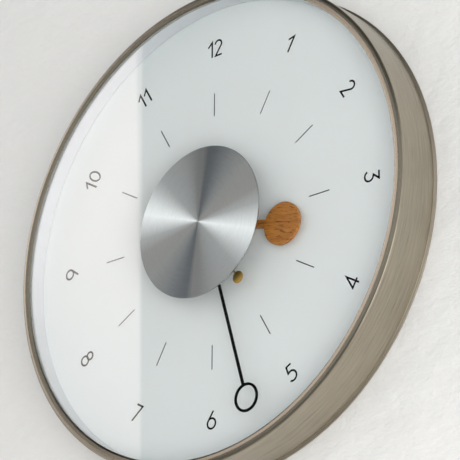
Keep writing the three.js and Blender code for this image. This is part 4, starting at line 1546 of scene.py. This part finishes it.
    def build_screws(self) -> None:
        """Turns a cross-head screw for each one of the frame."""
        for prefix, count in (("back_screw", 4), ("hanger_screw", 2)):
            for index in range(count):
                node = f"{prefix}_{index + 1}"
                front, back = span(node, 1)
                x, z = (sum(span(node, axis)) / 2 for axis in (0, 2))
                mesh = self.screw_mesh(node, front, back)
                spin = Matrix.Rotation(math.radians(self.screw_turn + self.screw_turn_step * index), 4, "Y")
                place = Matrix.Translation((x * MM, 0, z * MM)) @ spin
                piece_from(f"{node}_cross_head", mesh, "clock", (ZINC,), (node,), place)

    @staticmethod
    def screw_mesh(name: str, front: float, back: float) -> bpy.types.Mesh:
        """A pan-head screw with a cross recess cut into its head.

        Args:
            name: Name of the mesh.
            front: y of the shank's end.
            back: y of the top of the head.

        Returns:
            The mesh.
        """
        tip, shank, rim, shoulder, crown = 1.1, 1.5, 2.8, 2.7, 1.6  # radii from the end to the top
        seat = back - 1.1
        outline = rounded([(0, front, 0), (tip, front, 0.2), (shank, front + 0.8, 0.1), (shank, seat, 0),
                           (rim, seat, 0.1), (shoulder, seat + 0.75, 0.5), (crown, back, 0.8),
                           (0, back, 0)], steps=4)
        head = turned_mesh(name, outline, steps=40)
        cut = bmesh.new()
        arm, width, floor, above = 1.5, 0.5, back - 0.7, back + 0.4
        for turn in (0, 90):
            ribbon(cut, [(-arm, 0), (arm, 0)], width, floor, above,
                   Matrix.Rotation(math.radians(turn), 4, "Y"))
        tool = bpy.data.objects.new("recess", mesh_of("recess", cut))
        body = bpy.data.objects.new(name, head)
        for obj in (tool, body):
            bpy.context.scene.collection.objects.link(obj)
        carve = body.modifiers.new("recess", "BOOLEAN")
        carve.object = tool
        carve.operation = "DIFFERENCE"
        carve.solver = "EXACT"
        carve.use_self = True
        bpy.context.view_layer.update()
        graph = bpy.context.evaluated_depsgraph_get()
        mesh = bpy.data.meshes.new_from_object(body.evaluated_get(graph))
        for obj in (tool, body):
            bpy.data.objects.remove(obj)
        return mesh


# ---------------------------------------------------------------- movement


@dataclass
class Movement:
    """The quartz movement: its own CAD parts with eased edges, a plain cell and a knurled grip.

    Attributes:
        ease: Rounding of the CAD parts' edges.
        ease_from: Degrees of bend from which an edge is rounded.
        cell_nub: Radius and height of the nub on the cell.
        cell_band: Share of the cell's length at which its bright band starts.
        grip_teeth: Ridges of the grip on the setting knob.
        grip_radii: Radius of its bore, between its ridges and on them.
        plain: CAD nodes that are kept, by the finish they get.
    """

    ease: float = 0.12
    ease_from: float = 40.0
    cell_nub: Point = (2.7, 1.1)
    cell_band: float = 0.74
    grip_teeth: int = 36
    grip_radii: tuple[float, float, float] = (5.52, 5.7, 5.95)
    plain: dict[Finish, tuple[str, ...]] = field(default_factory=lambda: {
        GREY_PLASTIC: ("movement_front_shell", "movement_back_shell"),
        BLACK_PLASTIC: ("support_ring", "setting_knob"),
        WHITE_PLASTIC: ("middle_plate", "third_wheel", "centre_wheel", "reverse_wheel", "hour_wheel",
                        "intermediate_wheel", "coil_bobbin"),
        BRASS: ("bush_nut", "brass_washer", "hour_collet", "minute_collet", "second_collet",
                "second_wheel", "cannon_pinion"),
        ZINC: ("stator_plate", "coil_core", "quartz_crystal", "contact_plus", "contact_minus",
               "case_bracket_1", "case_bracket_2", "case_bracket_3", "case_bracket_4"),
        RUBBER: ("rubber_washer",),
        FERRITE: ("rotor",),
        COPPER: ("coil_winding",),
        BOARD: ("circuit_board",),
    })

    def build(self) -> None:
        """Dresses the kept CAD parts and adds the cell and the grip."""
        self.dress()
        self.build_cell()
        self.build_grip()

    def dress(self) -> None:
        """Gives each kept CAD part its finish and eases its edges."""
        for finish, names in self.plain.items():
            for name in names:
                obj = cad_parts[name]
                obj.data.materials.clear()
                obj.data.materials.append(finish.material())
                weld = obj.modifiers.new("weld", "WELD")
                weld.merge_threshold = MERGE
                bevel = obj.modifiers.new("ease", "BEVEL")
                bevel.width = self.ease * MM
                bevel.segments = 2
                bevel.limit_method = "ANGLE"
                bevel.angle_limit = math.radians(self.ease_from)
                flatten(obj)
                log.info("%-22s kept, %s", name, finish.name)

    def build_cell(self) -> None:
        """Turns the cell: a jacket folded over both ends, a bright band, a steel cap and its nub."""
        left, right = span("cell_aa", 0)
        front, back = span("cell_aa", 1)
        radius = (back - front) / 2
        nub_radius, nub = self.cell_nub
        length = right - left
        shoulder = length - nub
        outline = rounded([
            (0, 0, 0), (radius - 1.2, 0, 0.3), (radius - 1.2, 0.35, 0), (radius - 0.9, 0.1, 0.1),
            (radius, 0.1, 0.5), (radius, shoulder - 0.1, 0.5), (radius - 1.0, shoulder - 0.1, 0.1),
            (radius - 1.3, shoulder - 0.4, 0), (nub_radius + 0.3, shoulder - 0.2, 0.3),
            (nub_radius, length, 0.5), (0, length, 0),
        ], steps=4)
        band = length * self.cell_band
        outline = self.split_at(outline, radius, band)
        bare_steel = radius - 1.05
        numbers = {}
        for index, (r, y) in enumerate(outline):
            if r < bare_steel:
                numbers[index] = 2
            elif y >= band:
                numbers[index] = 1
        mesh = turned_mesh("aa_cell", outline, SMALL_STEPS, numbers)
        lay = Matrix.Translation((left * MM, (front + back) / 2 * MM, sum(span("cell_aa", 2)) / 2 * MM))
        mesh.transform(lay @ Matrix.Rotation(-math.pi / 2, 4, "Z"))
        piece_from("aa_cell", mesh, "clock", (CELL_JACKET, CELL_BAND, ZINC), ("cell_aa",))

    @staticmethod
    def split_at(outline: list[Point], radius: float, y: float) -> list[Point]:
        """Adds a point to an outline where its long side passes a height.

        Args:
            outline: The outline's points.
            radius: Radius of the long side.
            y: Height of the new point.

        Returns:
            The outline with the new point.
        """
        nearly = radius - 0.01
        for index, (first, second) in enumerate(zip(outline, outline[1:])):
            if first[0] > nearly and second[0] > nearly and first[1] < y < second[1]:
                return [*outline[:index + 1], (radius, y), *outline[index + 1:]]
        return outline

    def build_grip(self) -> None:
        """Cuts a knurled ring for the head of the setting knob."""
        _, back = span("setting_knob", 1)
        x, z = (sum(span("setting_knob", axis)) / 2 for axis in (0, 2))
        bore, valley, ridge = self.grip_radii
        points = self.grip_teeth * 4
        outline: list[Point] = []
        for i in range(points):
            radius = ridge if i % 4 in (1, 2) else valley
            angle = 2 * math.pi * i / points
            outline.append((radius * math.cos(angle), radius * math.sin(angle)))
        mesh = sheet_mesh("knob_grip", outline, [circle(bore, 48)], front=back - 2.2, back=back - 0.1,
                          edge=0.06, edge_steps=1)
        place = Matrix.Translation((x * MM, 0, z * MM))
        piece_from("knob_grip", mesh, "knob", (BLACK_PLASTIC,), (), place)


# ---------------------------------------------------------------- stage


@dataclass(frozen=True)
class Plaster(Finish):
    """Pale painted plaster, see-through from behind so that the clock's back can be looked at.

    Attributes:
        colour: Colour of the paint.
    """

    colour: Colour

    def shade(self, sheet: Sheet) -> None:
        """Draws trowel marks and fine grain, and clears the rear of the wall.

        Args:
            sheet: The empty material.
        """
        broad = sheet.noise(sheet.coordinates(), scale=5.0, detail=4.0, roughness=0.6)
        marks = sheet.noise(sheet.stretched((22.0, 22.0, 34.0)), scale=1.0, detail=5.0, roughness=0.62)
        grain = sheet.noise(sheet.coordinates(), scale=380.0, detail=3.0)
        mixed = sheet.weighted((marks, 0.6), (broad, 0.4))
        trowelled = sheet.bump(marks, distance=0.0055, strength=0.5)
        normal = sheet.bump(grain, distance=0.0003, strength=0.5, normal=trowelled)
        shader = sheet.principled(
            Base_Color=sheet.ramp(mixed, ((0.35, shade(self.colour, 0.985)), (0.6, self.colour))),
            Roughness=0.85, Normal=normal,
        )
        clear = sheet.add("ShaderNodeBsdfTransparent")
        side = sheet.add("ShaderNodeNewGeometry")
        mix = sheet.add("ShaderNodeMixShader")
        sheet.set(mix, 0, side.outputs["Backfacing"])
        sheet.set(mix, 1, shader.outputs[0])
        sheet.set(mix, 2, clear.outputs[0])
        sheet.tree.links.new(mix.outputs[0], sheet.output.inputs["Surface"])


@dataclass
class Stage:
    """Wall, floor, sky, lamps and camera.

    Attributes:
        wall_half: Half the width of the wall in metres.
        wall_hole: Radius of the hole behind the clock, so that light reaches its back.
        wall_steps: Sides of that hole.
        wall_gap: How far the wall stands behind the clock, so that they don't share a plane.
        floor_drop: How far the floor lies below the clock's axis.
        camera_at: Where the camera stands.
        camera_turn: Its yaw, pitch and roll in radians.
        lens: Its focal length in millimetres.
        sensor: Width of its sensor in millimetres.
        backdrop: Brightness that the camera sees beyond the wall.
        room_power: Brightness of the room's pale walls.
        room_colour: Colour of the light from the walls.
        window_power: Brightness of the window.
        window_colour: Colour of the light from the window.
        window_normal: Normal of the plane through the window's upright edge, towards the window.
        window_edge: Half the softness of the window's upright edge.
        wall_light: Brightness of the walls by height, from straight down at 0 to straight up at 1.
        window_light: Brightness of the window by height.
        window_band: Where the window is, across its normal; its edge is at 0.5.
        corner_band: Where the walls are dark, across the same normal.
    """

    wall_half: float = 3.0
    wall_hole: float = 0.168
    wall_steps: int = 96
    wall_gap: float = 0.0004
    floor_drop: float = 1.5
    camera_at: tuple[float, float, float] = (0.88335, -1.00219, -0.53817)
    camera_turn: tuple[float, float, float] = (-0.723499, 0.385823, 0.006227)
    lens: float = 162.777
    sensor: float = 36.0
    backdrop: float = 0.8
    room_power: float = 0.9
    room_colour: Colour = (1.0, 0.995, 0.985)
    window_power: float = 2.3
    window_colour: Colour = (1.0, 0.86, 0.83)
    window_normal: tuple[float, float, float] = (-0.7241, 0.6893, -0.0219)
    window_edge: float = 0.0008
    wall_light: tuple[Point, ...] = ((0.0, 0.6), (0.4, 0.8), (0.6, 1.0), (0.74, 1.0), (0.8, 0.25),
                                     (1.0, 0.15))
    window_light: tuple[Point, ...] = ((0.0, 0.02), (0.6, 0.3), (0.64, 0.55), (0.665, 0.75), (0.685, 0.95),
                                       (0.705, 1.0), (0.74, 1.0), (0.775, 0.3), (0.8, 0.03))
    window_band: tuple[Point, ...] = ((0.76, 1.0), (0.82, 0.0))
    corner_band: tuple[Point, ...] = ((0.42, 1.0), (0.44, 0.01), (0.5, 0.01), (0.5004, 0.1), (0.66, 1.0))

    def build(self) -> None:
        """Makes the whole stage."""
        self.build_wall()
        self.build_floor()
        self.build_sky()
        self.build_lamps()
        self.build_camera()

    def build_wall(self) -> None:
        """Makes the wall as a flat sheet with a round hole hidden by the clock."""
        bm = bmesh.new()
        steps = self.wall_steps
        inner, outer = [], []
        for i in range(steps):
            angle = 2 * math.pi * (i + 0.5) / steps
            x, z = math.cos(angle), math.sin(angle)
            stretch = self.wall_half / max(abs(x), abs(z))
            inner.append(bm.verts.new((x * self.wall_hole, 0, z * self.wall_hole)))
            outer.append(bm.verts.new((x * stretch, 0, max(z * stretch, -self.floor_drop))))
        for i in range(steps):
            j = (i + 1) % steps
            bm.faces.new((inner[i], inner[j], outer[j], outer[i]))
        for face in bm.faces:
            face.normal_update()
            if face.normal.y > 0:
                face.normal_flip()
        mesh = bpy.data.meshes.new("wall")
        bm.to_mesh(mesh)
        bm.free()
        mesh.materials.append(Plaster("wall_plaster", srgb(221, 222, 221)).material())
        wall = bpy.data.objects.new("wall", mesh)
        wall.location.y = self.wall_gap
        bpy.context.scene.collection.objects.link(wall)

    def build_floor(self) -> None:
        """Makes the pale floor."""
        half = self.wall_half
        drop = -self.floor_drop
        mesh = bpy.data.meshes.new("floor")
        mesh.from_pydata([(-half, -2 * half, drop), (half, -2 * half, drop), (half, half, drop),
                          (-half, half, drop)], [], [(0, 1, 2, 3)])
        mesh.materials.append(Lacquer("floor_paint", srgb(214, 212, 208), 0.6).material())
        floor = bpy.data.objects.new("floor", mesh)
        bpy.context.scene.collection.objects.link(floor)

    def build_sky(self) -> None:
        """Lights the room: a tall window on the left, a dark corner beside it and pale walls all round.

        The window's upright edge is the plane across window_normal, so the glass mirrors it as a
        straight line. The camera itself sees a plain pale room.
        """
        world = bpy.data.worlds.new("room")
        bpy.context.scene.world = world
        world.use_nodes = True
        sheet = Sheet.of_world(world)
        ray = sheet.add("ShaderNodeTexCoord").outputs["Generated"]
        parts = sheet.add("ShaderNodeSeparateXYZ")
        sheet.set(parts, 0, ray)
        height = sheet.add("ShaderNodeMapRange")
        sheet.set(height, "From Min", -1.0)
        sheet.set(height, "Value", parts.outputs[2])
        across = sheet.add("ShaderNodeVectorMath", operation="DOT_PRODUCT")
        sheet.set(across, 0, ray)
        sheet.set(across, 1, self.window_normal)
        side = sheet.add("ShaderNodeMapRange")
        sheet.set(side, "From Min", -1.0)
        sheet.set(side, "Value", across.outputs["Value"])
        walls = sheet.ramp(height.outputs[0], self.greys(self.wall_light))
        window = sheet.ramp(height.outputs[0], self.greys(self.window_light))
        edge = sheet.add("ShaderNodeMapRange", clamp=True)
        sheet.set(edge, "From Min", -self.window_edge)
        sheet.set(edge, "From Max", self.window_edge)
        sheet.set(edge, "Value", across.outputs["Value"])
        band = sheet.ramp(side.outputs[0], self.greys(self.window_band))
        inside = sheet.math("MULTIPLY", edge.outputs[0], band)
        corner = sheet.ramp(side.outputs[0], self.greys(self.corner_band))
        lit = sheet.math("MULTIPLY", walls, corner)
        glow = sheet.math("MULTIPLY", sheet.math("MULTIPLY", window, inside), self.window_power)
        seen = sheet.add("ShaderNodeLightPath").outputs["Is Camera Ray"]
        unseen = sheet.math("SUBTRACT", 1.0, seen)
        pale = sheet.math("MULTIPLY_ADD", sheet.math("MULTIPLY", lit, self.room_power), unseen,
                          sheet.math("MULTIPLY", seen, self.backdrop))
        total = sheet.add("ShaderNodeVectorMath", operation="ADD")
        for index, (colour, level) in enumerate(((self.room_colour, pale),
                                                 (self.window_colour, sheet.math("MULTIPLY", glow, unseen)))):
            scaled = sheet.add("ShaderNodeVectorMath", operation="SCALE")
            sheet.set(scaled, 0, colour)
            sheet.set(scaled, "Scale", level)
            sheet.set(total, index, scaled.outputs[0])
        background = sheet.add("ShaderNodeBackground")
        sheet.set(background, "Color", total.outputs[0])
        sheet.tree.links.new(background.outputs[0], sheet.output.inputs["Surface"])

    @staticmethod
    def greys(stops: Iterable[Point]) -> list[tuple[float, Colour]]:
        """Stops of a ramp from positions and grey values."""
        return [(position, (value, value, value)) for position, value in stops]

    def build_lamps(self) -> None:
        """Hangs a weak key lamp on the left, a wide one in front, two on the right and one behind."""
        self.lamp("key", (-1.5, -1.6, 1.9), size=1.3, power=4.0, colour=(1.0, 0.985, 0.96))
        self.lamp("front", (0.2, -3.6, 1.0), size=4.0, power=20.0, colour=(0.86, 0.97, 1.0))
        self.lamp("fill", (0.95, -0.85, -0.6), size=0.9, power=10.5, colour=(1.0, 0.965, 0.95))
        self.lamp("right", (1.9, -1.1, -1.0), size=1.5, power=15.0, colour=(1.0, 0.99, 0.97), mirrored=True)
        self.lamp("rear", (-0.9, 1.8, 1.2), size=1.2, power=45.0, colour=(1.0, 1.0, 1.0))

    def lamp(self, name: str, at: Sequence[float], size: float, power: float, colour: Colour,
             mirrored: bool = False) -> None:
        """Adds a square lamp that shines on the middle of the clock and that the camera doesn't see.

        Args:
            name: Name of the lamp.
            at: Where it hangs.
            size: Its side in metres.
            power: Its power in watts.
            colour: Its colour.
            mirrored: True if metal shows its reflection.
        """
        data = bpy.data.lights.new(name, "AREA")
        data.size = size
        data.energy = power
        data.color = colour
        obj = bpy.data.objects.new(name, data)
        obj.location = at
        obj.rotation_euler = (-Vector(at)).to_track_quat("-Z", "Y").to_euler()
        obj.visible_camera = False
        obj.visible_glossy = mirrored
        obj.visible_transmission = False
        bpy.context.scene.collection.objects.link(obj)

    def build_camera(self) -> None:
        """Stands the camera low on the right, looking up at the dial."""
        yaw, pitch, roll = self.camera_turn
        forward = Vector((math.sin(yaw) * math.cos(pitch), math.cos(yaw) * math.cos(pitch), math.sin(pitch)))
        right = Vector((math.cos(yaw), -math.sin(yaw), 0))
        up = right.cross(forward)
        side = right * math.cos(roll) + up * math.sin(roll)
        top = up * math.cos(roll) - right * math.sin(roll)
        data = bpy.data.cameras.new("camera")
        data.lens = self.lens
        data.sensor_width = self.sensor
        obj = bpy.data.objects.new("camera", data)
        turn = Matrix((side, top, -forward)).transposed().to_4x4()
        obj.matrix_world = Matrix.Translation(self.camera_at) @ turn
        bpy.context.scene.collection.objects.link(obj)
        bpy.context.scene.camera = obj
        bpy.context.scene.view_settings.view_transform = "Standard"


# ---------------------------------------------------------------- all together


def main() -> None:
    """Builds the stage and every piece."""
    logging.basicConfig(level=logging.INFO, format="%(message)s")
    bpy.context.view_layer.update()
    Stage().build()
    Case().build()
    Dial().build()
    CentreDisc().build()
    for hand in HANDS:
        hand.build()
    Back().build()
    Movement().build()
    bpy.context.view_layer.update()


if __name__ == "__main__":
    main()
